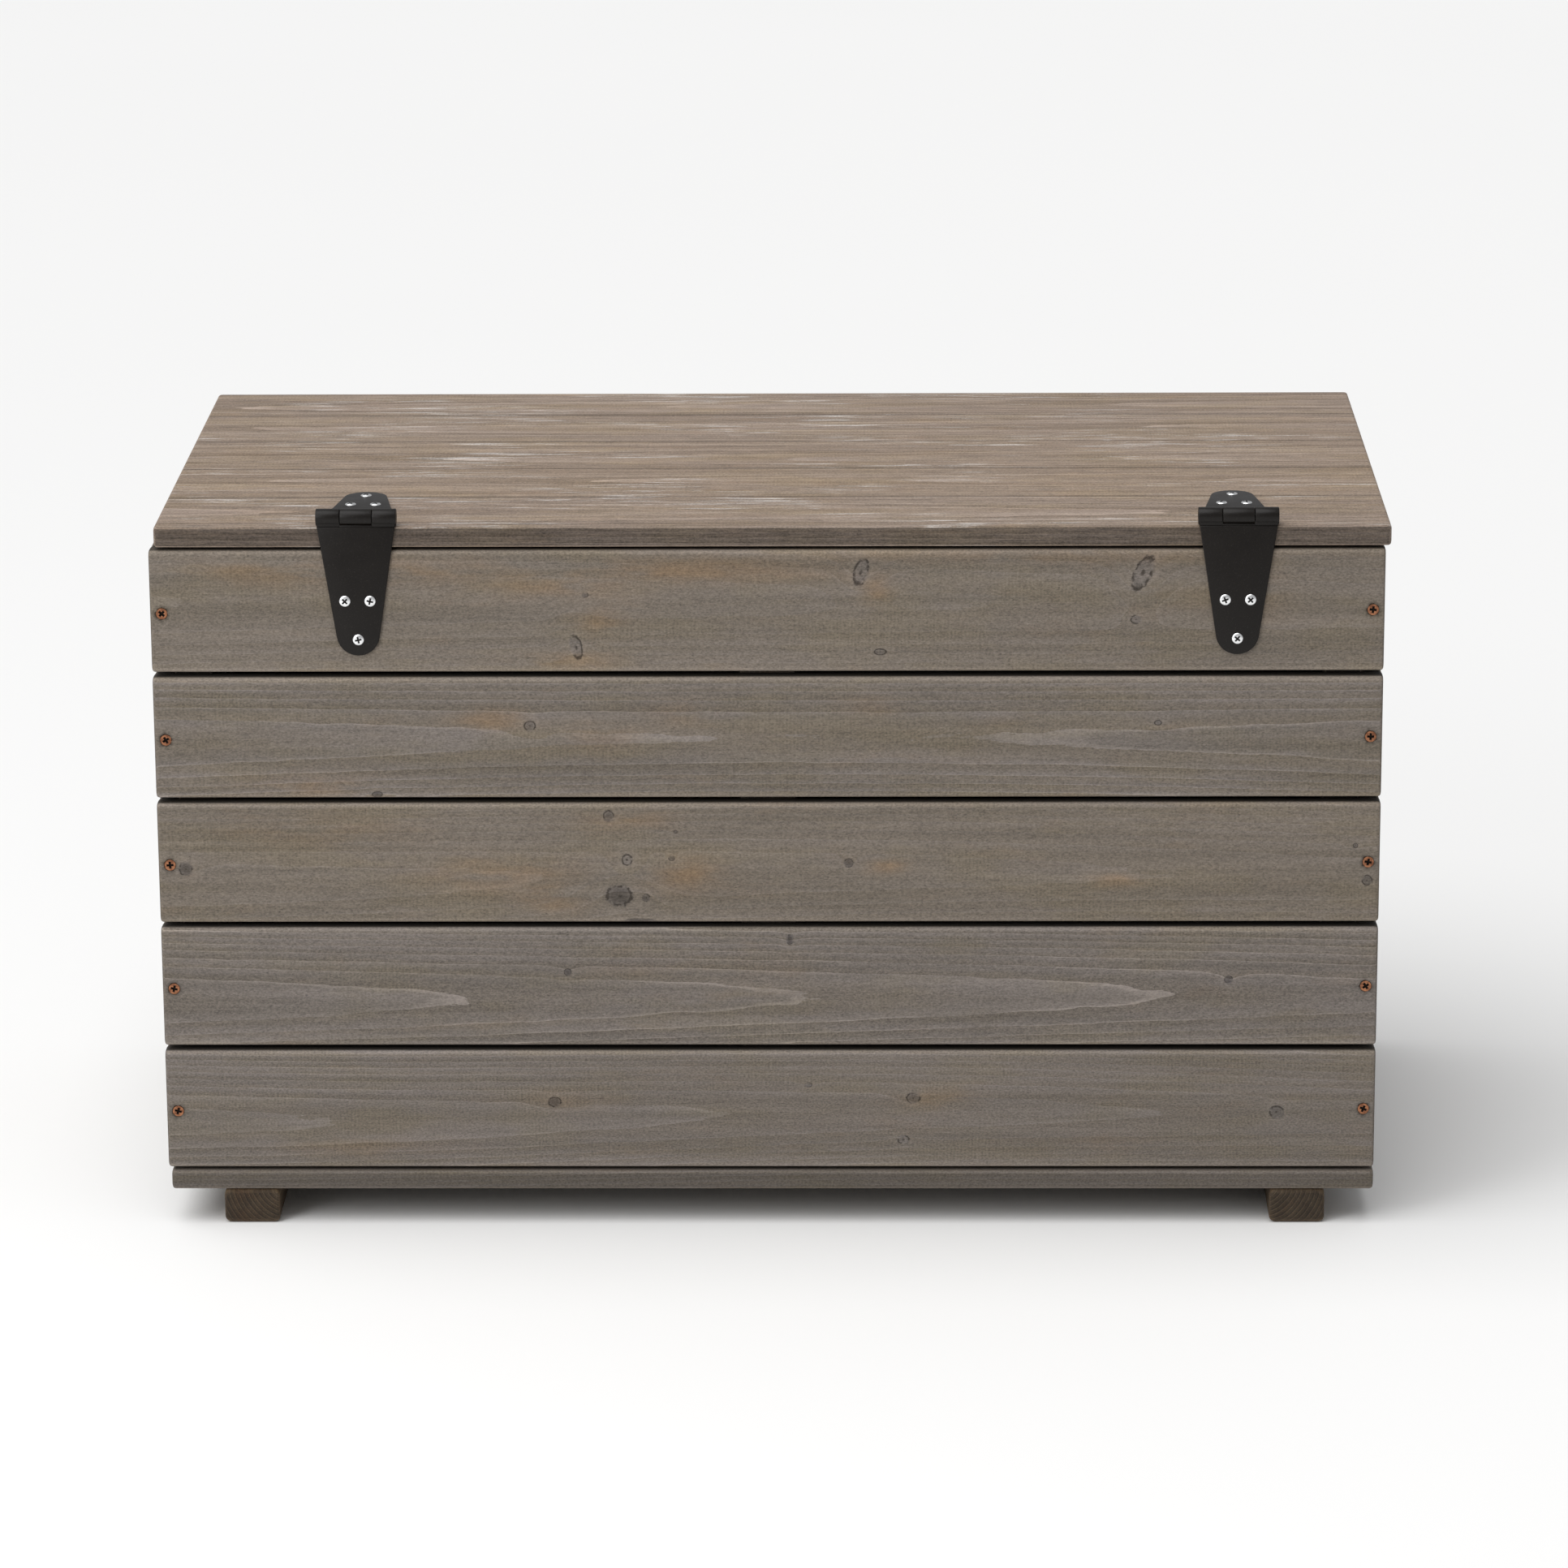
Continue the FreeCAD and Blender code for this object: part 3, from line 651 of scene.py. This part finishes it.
# Growth of an ordinary board, different for each seed. Places and sizes are in millimetres.
def growthOf(seed, **own):
    dice = random.Random(seed)
    growth = {
        "seed": seed * 0.618 % 7.3 + 0.2,
        "heart": dice.uniform(-16, 16),
        "wander": dice.uniform(2, 5),
        "wave": dice.uniform(3, 7),
        "depth": dice.uniform(45, 75),
        "taper": dice.choice((-1, 1)) * dice.uniform(0.008, 0.013),
        "tip": dice.uniform(-120, 120),
        "bow": 0.0,
        "offset": 0.0,
        "arris": plankShape["arris"],
        "spacing": dice.uniform(2.6, 3.8),
        "strength": dice.uniform(0.6, 1.1),
        "tone": dice.uniform(0, 0.7),
        "knots": [],
        "stains": [],
    }
    for index in range(dice.randint(1, 4)):
        size = dice.uniform(1.6, 5.0)
        s, a = dice.uniform(-400, 400), dice.uniform(-32, 32)
        tall, lean, dark = size * dice.uniform(0.8, 1.5), dice.uniform(-30, 30), dice.uniform(0, 0.4)
        growth["knots"].append(knotAt(s, a, size, tall, dark, lean))
        growth["stains"].append((s + 14, a, 24, 9, 0.8))
    growth.update(own)
    if "knots" in own:
        growth["knots"] = [knotAt(*knot) for knot in own["knots"]]
    growth.setdefault("strengthRight", growth["strength"])
    return growth


# The five boards of the hinge side, from the lowest. A stain is its place, width, height and strength.
backGrowth = {
    1: growthOf(
        11, tone=0.55, heart=-6, wander=4, wave=6.0, depth=48, taper=0.0105, tip=-326, spacing=3.2,
        strength=2.0, strengthRight=0.75,
        knots=[
            (-160, 5.5, 5, 4, 0.6), (29, 19, 3, 2, 0.3), (107, 8.6, 5.5, 4.2, 0.35),
            (377, -2.4, 5.5, 5, 0.3), (99.6, -24, 4.5, 3.5),
        ],
        stains=[
            (-150, 6, 30, 8, 0.5), (120, 8, 26, 9, 0.7), (-300, -30, 60, 8, 0.4), (240, -28, 60, 7, 0.4),
        ],
    ),
    2: growthOf(
        12, tone=0.6, heart=-9, wander=2, wave=4.0, depth=60, taper=0.0118, tip=36, spacing=3.1,
        strength=1.9,
        knots=[
            (-149, 11.3, 2.8, 2.8, 0.6), (340, 5.2, 3.2, 3.2, 0.65),
            (15.8, 36.4, 2.4, 4, 0.7), (-343, -6.4, 1, 1, 0.6, 0, 0.1),
        ],
        stains=[(-40, 15, 60, 9, 0.25)],
    ),
    3: growthOf(
        13, tone=0.0, heart=-12, wander=5, wave=5.5, depth=58, taper=0.008, tip=279, spacing=3.4,
        strength=0.6,
        knots=[
            (-117, 36, 4, 4.5, 0.4), (-68, 23.7, 1.5, 1.5, 0.5),
            (-104, 2.3, 4, 4.5, 0, 0, 1.2), (-71, 3.5, 2.4, 2, 0.5),
            (-110, -25.3, 10, 8, 0.62, 0, 1.6), (-90, -27, 3, 3, 0.5),
            (59.6, -0.2, 3.6, 3.4, 0.6), (-430, -4.5, 5, 5.4, 0.62),
            (432, 12.7, 2, 2, 0.4), (441, -14, 4, 4, 0.45), (-95, -44.5, 12, 1.6, 0.6),
        ],
        stains=[
            (-160, -25, 26, 11, 1.0), (-200, -8, 55, 14, 0.7), (-60, -9, 24, 13, 1.0), (88, -3, 13, 6, 0.9),
            (258, -13, 20, 6, 0.8), (-105, 34, 34, 6, 0.7), (-330, 24, 60, 12, 0.45),
        ],
    ),
    4: growthOf(
        14, tone=0.1, heart=-4, wander=4, wave=3.2, depth=62, taper=0.0, tip=37, bow=0.012, offset=0.05,
        spacing=3.1, strength=1.5,
        knots=[
            (-174, 8.9, 4.5, 4, 0.3), (286, 10.7, 2.8, 2, 0.2), (-287, -43, 4, 2.4, 0.7),
        ],
        stains=[
            (-200, 14, 30, 8, 1.0), (-60, 18, 30, 10, 0.5), (70, 22, 22, 8, 0.5), (-330, -36, 60, 7, 0.9),
            (-120, 2, 26, 12, 0.5), (-270, -36, 16, 4, 0.8),
        ],
    ),
    5: growthOf(
        15, tone=0.1, heart=6, wander=3, wave=4.5, depth=66, taper=0.006, tip=180, spacing=3.6,
        strength=0.5,
        knots=[
            (69, 29, 5.5, 10.5, 0.1, -16, 1.6), (274, 27.8, 6.5, 14, 0.1, -24, 2),
            (269, -7, 3.8, 3.4, 0.2), (-132, 12, 2.6, 2, 0.4),
            (-139, -27, 4.5, 9.5, 0.1, 14, 1.4), (83, -31, 5, 2.5, 0.3),
        ],
        stains=[
            (-300, 30, 120, 9, 0.9), (-60, 30, 90, 9, 0.95), (-120, -10, 14, 10, 1.0),
            (-150, -38, 40, 6, 0.9), (80, 12, 10, 14, 0.8), (-150, 22, 60, 12, 0.8), (350, 10, 30, 18, 0.5),
            (200, 40, 200, 5, 0.5),
        ],
    ),
}

# The five lid boards, from the hinge side.
lidGrowth = {
    row: growthOf(40 + row, strength=1.1, arris=1.7 * mm, knots=[], stains=[]) for row in range(1, 6)
}

# Battens and runners have plain wood, the runners with their hearts near an edge.
battenGrowth = {"knots": [], "arris": 2 * mm, "strength": 0.6}
runnerGrowth = {"knots": [], "arris": 4.5 * mm, "strength": 1.0, "depth": 34, "spacing": 3.4}
runnerHearts = (("left", 30), ("right", -26))


def makePlanks(wood):
    seats = {}
    for group in ("wall_screws", "batten_screws", "floor_screws", "lid_batten_screws"):
        for place in screwPlaces(group):
            for node in nodes:
                if "screw" in node or "hinge" in node:
                    continue
                lo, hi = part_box(node)
                inside = place["rim"] - place["outward"] * (2 * mm)
                if all(lo[i] < inside[i] < hi[i] for i in range(3)):
                    seats.setdefault(node, []).append(place)
    free = ("free", "free")
    fine, plain = plankShape["showStep"], plankShape["plainStep"]
    x, y, z = Vector((1, 0, 0)), Vector((0, 1, 0)), Vector((0, 0, 1))
    for row in range(1, 6):
        for wall, along, seed in (("back", x, 0), ("front", -x, 20), ("left", -y, 60), ("right", y, 80)):
            node = f"{wall}_board_{row}"
            growth = backGrowth[row] if wall == "back" else growthOf(seed + row)
            if wall in ("left", "right"):
                growth["knots"] = [knot for knot in growth["knots"] if abs(knot["s"]) < 190]
            makePlank(
                f"{wall}_board_{row}_plank", node, along, z, wood["wall"], growth, free,
                fine if wall == "back" else plain, seats.get(node, ()),
                endRound=None if wall in ("back", "front") else 0.3 * mm,
            )
        lowKind = "free" if row == 1 else "groove"
        highKind = "free" if row == 5 else "tongue"
        makePlank(
            f"lid_board_{row}_plank", f"lid_board_{row}", x, y, wood["lid"], lidGrowth[row],
            (lowKind, highKind), fine, corner=plankShape["lidCorner"],
        )
        makePlank(
            f"floor_board_{row}_plank", f"floor_board_{row}", x, -y, wood["floor"], growthOf(100 + row),
            (highKind, lowKind), plain, seats.get(f"floor_board_{row}", ()), corner=3 * mm,
        )
    battens = (
        ("corner_batten_back_left", z, -y), ("corner_batten_front_left", z, -y),
        ("corner_batten_back_right", z, y), ("corner_batten_front_right", z, y),
        ("mid_batten_back", z, x), ("mid_batten_front", z, -x),
        ("lid_batten_left", y, x), ("lid_batten_right", y, x),
    )
    for index, (node, along, across) in enumerate(battens):
        makePlank(
            f"{node}_bar", node, along, across, wood["wall"], growthOf(140 + index, **battenGrowth),
            free, plain, seats.get(node, ()), endRound=1 * mm,
        )
    for index, (side, heart) in enumerate(runnerHearts):
        node = f"runner_{side}"
        makePlank(
            f"{node}_bar", node, y, x, wood["runner"], growthOf(160 + index, heart=heart, **runnerGrowth),
            free, plain, seats.get(node, ()), endRound=4 * mm, corner=1.5 * mm,
        )
    print("planks made")


# Each screw of a CAD group: the middle of its head's rim, the way its head faces, and its size.
def screwPlaces(node):
    copy = bmesh.new()
    copy.from_mesh(nodes[node].data)
    bmesh.ops.remove_doubles(copy, verts=copy.verts, dist=1e-6)
    left = set(copy.verts)
    places = []
    while left:
        island, waiting = [], [left.pop()]
        while waiting:
            vert = waiting.pop()
            island.append(vert.co.copy())
            for edge in vert.link_edges:
                other = edge.other_vert(vert)
                if other in left:
                    left.discard(other)
                    waiting.append(other)
        points = np.array([tuple(point) for point in island])
        low, high = points.min(0), points.max(0)
        axis = int(np.argmax(high - low))
        across = [i for i in range(3) if i != axis]
        middle = (low + high) / 2
        radial = np.hypot(*(points[:, i] - middle[i] for i in across))
        rimAt = float(points[np.argmax(radial), axis])
        outward = Vector((0, 0, 0))
        outward[axis] = 1 if rimAt > middle[axis] else -1
        rim = Vector(middle)
        rim[axis] = rimAt
        places.append({"rim": rim, "outward": outward, "radius": float(radial.max())})
    copy.free()
    return sorted(places, key=lambda place: tuple(round(value, 4) for value in place["rim"]))


# Screws, in millimetres: the width of the cross, the shank's radius, the length, the height of the cone
# under the head, the height of its dome, and the pitch of the thread.
woodScrew = {"cross": 0.8, "shank": 1.75, "length": 34.5, "cone": 2.6, "dome": 0.1, "pitch": 2.4}
hingeScrew = {"cross": 0.8, "shank": 1.75, "length": 13.8, "cone": 2.0, "dome": 1.2, "pitch": 2.0}
screwShapes = {
    "wall_screws": {"cross": 1.05, "shank": 2.0, "length": 44.5, "cone": 2.6, "dome": 0.15, "pitch": 2.6},
    "batten_screws": woodScrew,
    "floor_screws": woodScrew,
    "lid_batten_screws": dict(woodScrew, length=27.5),
    "hinge_strap_screws": hingeScrew,
    "hinge_leaf_screws": hingeScrew,
    "stay_bracket_screws": {
        "cross": 0.7, "shank": 1.5, "length": 11.8, "cone": 1.8, "dome": 0.1, "pitch": 1.8,
    },
}


def revolve(profile, segments):
    built = bmesh.new()
    rings = []
    for radius, height in profile:
        if radius < 1e-7:
            rings.append([built.verts.new((0, 0, height))])
            continue
        turns = [2 * math.pi * step / segments for step in range(segments)]
        rings.append([built.verts.new((radius * math.cos(t), radius * math.sin(t), height)) for t in turns])
    for first, second in zip(rings, rings[1:]):
        for step in range(segments):
            following = (step + 1) % segments
            corners = [first[step % len(first)], first[following % len(first)]]
            corners += [second[following % len(second)], second[step % len(second)]]
            built.faces.new(list(dict.fromkeys(corners)))
    bmesh.ops.recalc_face_normals(built, faces=built.faces)
    return built


# One screw standing on its point, with a tapered cross cut into its head. Its rim is at z = 0.
def masterScrew(name, radius, shape):
    head, shank, dome, width = radius, shape["shank"] * mm, shape["dome"] * mm, shape["cross"] * mm
    profile = [(0, dome)]
    if dome > 0.5 * mm:
        profile += [(head * math.sin(t), dome * math.cos(t)) for t in (0.35, 0.7, 1.0, 1.25, 1.45)]
    else:
        profile.append((head * 0.5, dome * 0.9))
    profile += [(head * 0.985, min(0.12 * mm, dome * 0.3)), (head, -0.12 * mm), (head * 0.985, -0.25 * mm)]
    profile.append((shank, -shape["cone"] * mm))
    at = -shape["cone"] * mm - 3 * mm
    profile.append((shank, at))
    tip = -shape["length"] * mm
    while at > tip + 4 * mm:
        profile += [(shank * 0.72, at - 0.3 * shape["pitch"] * mm), (shank, at - 0.5 * shape["pitch"] * mm)]
        at -= 0.5 * shape["pitch"] * mm
    profile += [(shank * 0.6, tip + 2.4 * mm), (0, tip)]
    built = revolve(profile, 24)
    mesh = bpy.data.meshes.new(name)
    built.to_mesh(mesh)
    built.free()
    screw = bpy.data.objects.new(name, mesh)
    scene.collection.objects.link(screw)

    cutter = bmesh.new()
    for turn in (0, math.pi / 2):
        top, bottom = dome + 1 * mm, dome - 1.9 * mm
        ring = []
        for height, longHalf, shortHalf in ((top, head * 0.76, width), (bottom, head * 0.40, width * 0.53)):
            for x, y in ((-1, -1), (1, -1), (1, 1), (-1, 1)):
                spot = Matrix.Rotation(turn, 4, "Z") @ Vector((x * longHalf, y * shortHalf, height))
                ring.append(cutter.verts.new(spot))
        for corners in ((0, 1, 2, 3), (7, 6, 5, 4), (0, 4, 5, 1), (1, 5, 6, 2), (2, 6, 7, 3), (3, 7, 4, 0)):
            cutter.faces.new([ring[corner] for corner in corners])
    bmesh.ops.recalc_face_normals(cutter, faces=cutter.faces)
    cutMesh = bpy.data.meshes.new(name + " cross")
    cutter.to_mesh(cutMesh)
    cutter.free()
    cross = bpy.data.objects.new(name + " cross", cutMesh)
    scene.collection.objects.link(cross)
    cut = screw.modifiers.new("cross", "BOOLEAN")
    cut.operation = "DIFFERENCE"
    cut.solver = "EXACT"
    cut.use_self = True
    cut.object = cross
    bpy.context.view_layer.update()
    finished = bpy.data.meshes.new_from_object(screw.evaluated_get(bpy.context.evaluated_depsgraph_get()))
    screw.modifiers.clear()
    bpy.data.objects.remove(cross)
    screw.data = finished
    recess = finished.attributes.new("recess", "FLOAT", "FACE")
    recess.data.foreach_set("value", [float(inCross(face, head, dome)) for face in finished.polygons])
    return screw


# The walls and floor of the cross lie within the head, under its crown, and the cone and shank don't.
def inCross(face, head, dome):
    away = math.hypot(face.center.x, face.center.y)
    crown = dome * math.sqrt(max(0, 1 - (away / head) ** 2))
    return away < head * 0.72 and -2.2 * mm < face.center.z < crown - 0.14 * mm and face.normal.z > -0.3


# Geometry Nodes: a screw at every point, its head facing the point's "facing" and turned by its "spin".
def screwTree():
    tree = bpy.data.node_groups.new("screws at points", "GeometryNodeTree")
    face = tree.interface
    face.new_socket("Geometry", in_out="INPUT", socket_type="NodeSocketGeometry")
    face.new_socket("Screw", in_out="INPUT", socket_type="NodeSocketObject")
    face.new_socket("Head Scale", in_out="INPUT", socket_type="NodeSocketFloat")
    face.new_socket("Finish", in_out="INPUT", socket_type="NodeSocketMaterial")
    face.new_socket("Geometry", in_out="OUTPUT", socket_type="NodeSocketGeometry")
    start = put(tree, "NodeGroupInput")
    end = put(tree, "NodeGroupOutput")
    facing = put(tree, "GeometryNodeInputNamedAttribute", data_type="FLOAT_VECTOR")
    facing.inputs["Name"].default_value = "facing"
    spin = put(tree, "GeometryNodeInputNamedAttribute", data_type="FLOAT")
    spin.inputs["Name"].default_value = "spin"
    spinVector = put(tree, "ShaderNodeCombineXYZ", {"Z": spin.outputs[0]})
    spinTurn = put(tree, "FunctionNodeEulerToRotation", {0: spinVector.outputs[0]})
    aim = put(tree, "FunctionNodeAlignRotationToVector", {"Vector": facing.outputs[0]}, axis="Z")
    turned = put(
        tree, "FunctionNodeRotateRotation",
        {"Rotation": aim.outputs[0], "Rotate By": spinTurn.outputs[0]}, rotation_space="LOCAL",
    )
    chosen = {"Object": start.outputs["Screw"]}
    screw = put(tree, "GeometryNodeObjectInfo", chosen, transform_space="ORIGINAL")
    sockets = {
        "Points": start.outputs["Geometry"], "Instance": screw.outputs["Geometry"],
        "Rotation": turned.outputs[0], "Scale": start.outputs["Head Scale"],
    }
    placed = put(tree, "GeometryNodeInstanceOnPoints", sockets)
    real = put(tree, "GeometryNodeRealizeInstances", {"Geometry": placed.outputs[0]})
    sockets = {"Geometry": real.outputs[0], "Material": start.outputs["Finish"]}
    painted = put(tree, "GeometryNodeSetMaterial", sockets)
    tree.links.new(painted.outputs[0], end.inputs[0])
    return tree


def makeScrews(finishes):
    tree = screwTree()
    inputs = {item.name: item.identifier for item in tree.interface.items_tree if item.in_out == "INPUT"}
    for group, shape in screwShapes.items():
        places = screwPlaces(group)
        master = masterScrew("master " + group, places[0]["radius"], shape)
        points = bpy.data.meshes.new(group + " points")
        points.from_pydata([tuple(place["rim"]) for place in places], [], [])
        dice = random.Random(group)
        facing = points.attributes.new("facing", "FLOAT_VECTOR", "POINT")
        facing.data.foreach_set("vector", [value for place in places for value in place["outward"]])
        spin = points.attributes.new("spin", "FLOAT", "POINT")
        spin.data.foreach_set("value", [dice.uniform(0, math.pi / 2) for place in places])
        holder = bpy.data.objects.new(group + " points", points)
        scene.collection.objects.link(holder)
        modifier = holder.modifiers.new("screws", "NODES")
        modifier.node_group = tree
        modifier[inputs["Screw"]] = master
        modifier[inputs["Head Scale"]] = 1.0
        modifier[inputs["Finish"]] = finishes[slotOf[group]]
        bpy.context.view_layer.update()
        evaluated = holder.evaluated_get(bpy.context.evaluated_depsgraph_get())
        mesh = bpy.data.meshes.new_from_object(evaluated)
        mesh.name = group + "_set"
        bpy.data.objects.remove(holder)
        bpy.data.objects.remove(master)
        mesh.shade_smooth()
        mesh.set_sharp_from_angle(angle=math.radians(35))
        finishPiece(group + "_set", mesh, group)
    print("screws made")


def objectSpot(tree):
    return put(tree, "ShaderNodeTexCoord").outputs["Object"]


blackCoat = {
    "dark": (0.0050, 0.0036, 0.0028),
    "light": (0.0085, 0.0064, 0.0050),
    "fleck": (0.026, 0.022, 0.019),
    "roughness": 0.29,
    "specular": 0.22,
    "bump": 0.35,
}


def powderCoat():
    look = blackCoat
    material, tree, shader = newMaterial("black powder coat")
    spot = objectSpot(tree)
    pebble = noise(tree, spot, (1500, 1500, 1500), 2)
    cloud = noise(tree, spot, (60, 60, 60), 3)
    colour = blend(tree, cloud, look["dark"], look["light"])
    colour = blend(tree, ease(tree, pebble, 0.60, 0.78), colour, look["fleck"])
    tree.links.new(colour, shader.inputs["Base Color"])
    tree.links.new(calc(tree, "MULTIPLY_ADD", cloud, 0.16, look["roughness"]), shader.inputs["Roughness"])
    shader.inputs["Specular IOR Level"].default_value = look["specular"]
    addBump(tree, shader, look["bump"], 0.2 * mm, pebble)
    return material


# Name, darker colour, lighter colour and roughness of each plated metal, and the painted shade in a screw's
# cross.
plated = {
    "zinc_screw": ("bright zinc", (0.78, 0.79, 0.80), (0.92, 0.92, 0.92), 0.32),
    "copper_screw": ("copper plate", (0.19, 0.080, 0.045), (0.41, 0.185, 0.098), 0.42),
    "yellow_screw": ("yellow zinc", (0.52, 0.40, 0.18), (0.72, 0.58, 0.30), 0.38),
    "stay_steel": ("stay steel", (0.52, 0.53, 0.54), (0.66, 0.67, 0.68), 0.34),
}
crossShade = (0.012, 0.011, 0.010)


def plating(name, dark, light, roughness):
    material, tree, shader = newMaterial(name)
    spot = objectSpot(tree)
    cloud = noise(tree, spot, (420, 420, 420), 3)
    scratch = noise(tree, spot, (2500, 300, 300), 2)
    colour = blend(tree, ease(tree, cloud, 0.3, 0.7), dark, light)
    # the walls and floor of each screw's cross are painted near black: painted shade in the recess
    recess = attribute(tree, "recess", "Fac")
    recessShade = calc(tree, "MULTIPLY", recess, 0.97)
    colour = blend(tree, recessShade, colour, crossShade)
    tree.links.new(colour, shader.inputs["Base Color"])
    tree.links.new(calc(tree, "MULTIPLY_ADD", scratch, 0.2, roughness - 0.1), shader.inputs["Roughness"])
    tree.links.new(calc(tree, "SUBTRACT", 1.0, recess), shader.inputs["Metallic"])
    shader.inputs["Specular IOR Level"].default_value = 0.05
    addBump(tree, shader, 0.12, 0.2 * mm, scratch)
    return material


hingeShape = {
    "thickness": 2.0 * mm,
    "barrel": 6.29 * mm,
    "barrelRound": 0.5 * mm,
    "bore": 2.52 * mm,
    "halfLength": 29.25 * mm,
    "middleHalf": 11.5 * mm,
    "gap": 0.4 * mm,
    "tipDistance": 86.6 * mm,
    "tipRadius": 15.75 * mm,
    "edgeRound": 0.45 * mm,
    "room": 6.36 * mm,  # from the pin's axis to where a leaf is full thickness
    "neck": 1.0 * mm,
    "lip": 4.9 * mm,  # the strap's edge below the middle knuckle, from the pin's axis
}


# The tapered outline of a leaf, from v = room to its round tip. u is across, v away from the barrel.
def leafOutline():
    shape = hingeShape
    half, tip, radius, start = shape["halfLength"], shape["tipDistance"], shape["tipRadius"], shape["room"]
    lean = math.atan2(half, tip) - math.asin(radius / math.hypot(half, tip))
    run = math.sqrt(half**2 + tip**2 - radius**2)
    first = math.atan2(run * math.cos(lean) - tip, half - run * math.sin(lean))
    arc = [first + (math.pi - 2 * first) * step / 20 for step in range(21)]
    startU = half - start * math.tan(lean)
    outline = [(startU, start)]
    outline += [(radius * math.cos(t), tip + radius * math.sin(t)) for t in arc]
    return outline + [(-startU, start)]


# The thinner neck that joins a leaf to one of its knuckles.
def neckOutline(low, high):
    below = hingeShape["room"] + 1 * mm
    return [(low, 0), (high, 0), (high, below), (low, below)]


# A plate with rounded edges, from its outline: top and bottom are heights along w.
def plate(built, outline, bottom, top, place):
    low = [built.verts.new(place(u, v, bottom)) for u, v in outline]
    high = [built.verts.new(place(u, v, top)) for u, v in outline]
    faces = [built.faces.new(low), built.faces.new(high)]
    for index in range(len(outline)):
        following = (index + 1) % len(outline)
        faces.append(built.faces.new((low[index], low[following], high[following], high[index])))
    bmesh.ops.recalc_face_normals(built, faces=faces)
    rimEdges = [edge for face in faces[:2] for edge in face.edges]
    bmesh.ops.bevel(
        built, geom=rimEdges, offset=hingeShape["edgeRound"], segments=2, profile=0.5, affect="EDGES",
        clamp_overlap=True,
    )


def knuckle(built, start, stop, place):
    shape = hingeShape
    radius, soft, bore = shape["barrel"], shape["barrelRound"], shape["bore"]
    part = soft * 0.3
    profile = [
        (bore, start), (radius - soft, start), (radius - part, start + part), (radius, start + soft),
        (radius, stop - soft), (radius - part, stop - part), (radius - soft, stop), (bore, stop),
    ]
    segments = 40
    turns = [2 * math.pi * step / segments for step in range(segments)]
    rings = []
    for reach, along in profile:
        spots = [(along, reach * math.cos(turn), reach * math.sin(turn)) for turn in turns]
        rings.append([built.verts.new(place(*spot)) for spot in spots])
    faces = []
    for first, second in zip(rings, rings[1:] + rings[:1]):
        for step in range(segments):
            following = (step + 1) % segments
            faces.append(built.faces.new((first[step], first[following], second[following], second[step])))
    bmesh.ops.recalc_face_normals(built, faces=faces)


def hingePiece(name, node, built, material):
    mesh = bpy.data.meshes.new(name)
    built.to_mesh(mesh)
    built.free()
    mesh.shade_smooth()
    mesh.set_sharp_from_angle(angle=math.radians(40))
    mesh.materials.append(material)
    return finishPiece(name, mesh, node)


def makeHinges(black):
    shape = hingeShape
    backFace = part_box("back_board_5")[0].y
    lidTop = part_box("lid_board_1")[1].z
    for side in ("left", "right"):
        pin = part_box(f"hinge_pin_{side}")
        axis = (pin[0] + pin[1]) / 2
        half, inner = shape["halfLength"], shape["middleHalf"]
        edge = inner + shape["gap"]

        def onBack(u, v, w):
            return Vector((axis.x + u, w, axis.z - v))

        def onLid(u, v, w):
            return Vector((axis.x + u, axis.y + v, w))

        def onAxis(along, p, q):
            return Vector((axis.x + along, axis.y + p, axis.z + q))

        strap = bmesh.new()
        plate(strap, leafOutline(), backFace - shape["thickness"], backFace, onBack)
        for low, high in ((-half, -edge), (edge, half)):
            plate(strap, neckOutline(low * 0.97, high * 0.97), backFace - shape["neck"], backFace, onBack)
        lip = [(u, v + shape["lip"]) for u, v in neckOutline(-edge, edge)[:2]] + neckOutline(-edge, edge)[2:]
        plate(strap, lip, backFace - shape["neck"], backFace, onBack)
        knuckle(strap, -half, -edge, onAxis)
        knuckle(strap, edge, half, onAxis)
        hingePiece(f"hinge_strap_{side}_leaf", f"hinge_strap_{side}", strap, black)

        leaf = bmesh.new()
        plate(leaf, leafOutline(), lidTop, lidTop + shape["thickness"], onLid)
        plate(leaf, neckOutline(-inner, inner), lidTop, lidTop + shape["neck"], onLid)
        knuckle(leaf, -inner, inner, onAxis)
        hingePiece(f"hinge_lid_{side}_leaf", f"hinge_lid_leaf_{side}", leaf, black)
    print("hinges made")


def makeFloor():
    material, tree, shader = newMaterial("studio floor")
    cloud = noise(tree, objectSpot(tree), (0.7, 0.7, 0.7), 2)
    pale = studio["floorColour"]
    colour = blend(tree, cloud, pale, tuple(value * 1.02 for value in pale))
    tree.links.new(colour, shader.inputs["Base Color"])
    shader.inputs["Roughness"].default_value = 0.9
    mesh = bpy.data.meshes.new("studio floor")
    reach = studio["floorReach"]
    corners = [(-reach, -reach, 0), (reach, -reach, 0), (reach, reach, 0), (-reach, reach, 0)]
    mesh.from_pydata(corners, [], [(0, 1, 2, 3)])
    mesh.materials.append(material)
    floor = bpy.data.objects.new("studio_floor", mesh)
    scene.collection.objects.link(floor)


placeCamera()
lightStudio()
makeFloor()
woods = {
    "wall": washedWood("washed spruce wall", wallWood),
    "lid": washedWood("washed spruce lid", lidWood),
    "floor": washedWood("washed spruce floor", floorWood),
    "runner": washedWood("dark washed runner", runnerWood),
}
finishes = {slot: plating(*look) for slot, look in plated.items()}
black = powderCoat()
makePlanks(woods)
makeScrews(finishes)
makeHinges(black)
for node, part in nodes.items():
    if node.startswith("stay_") and "bracket_screws" not in node:
        part.material_slots[0].material = finishes["stay_steel"]
    if node.startswith("hinge_pin"):
        part.material_slots[0].material = black
print("finishes set")
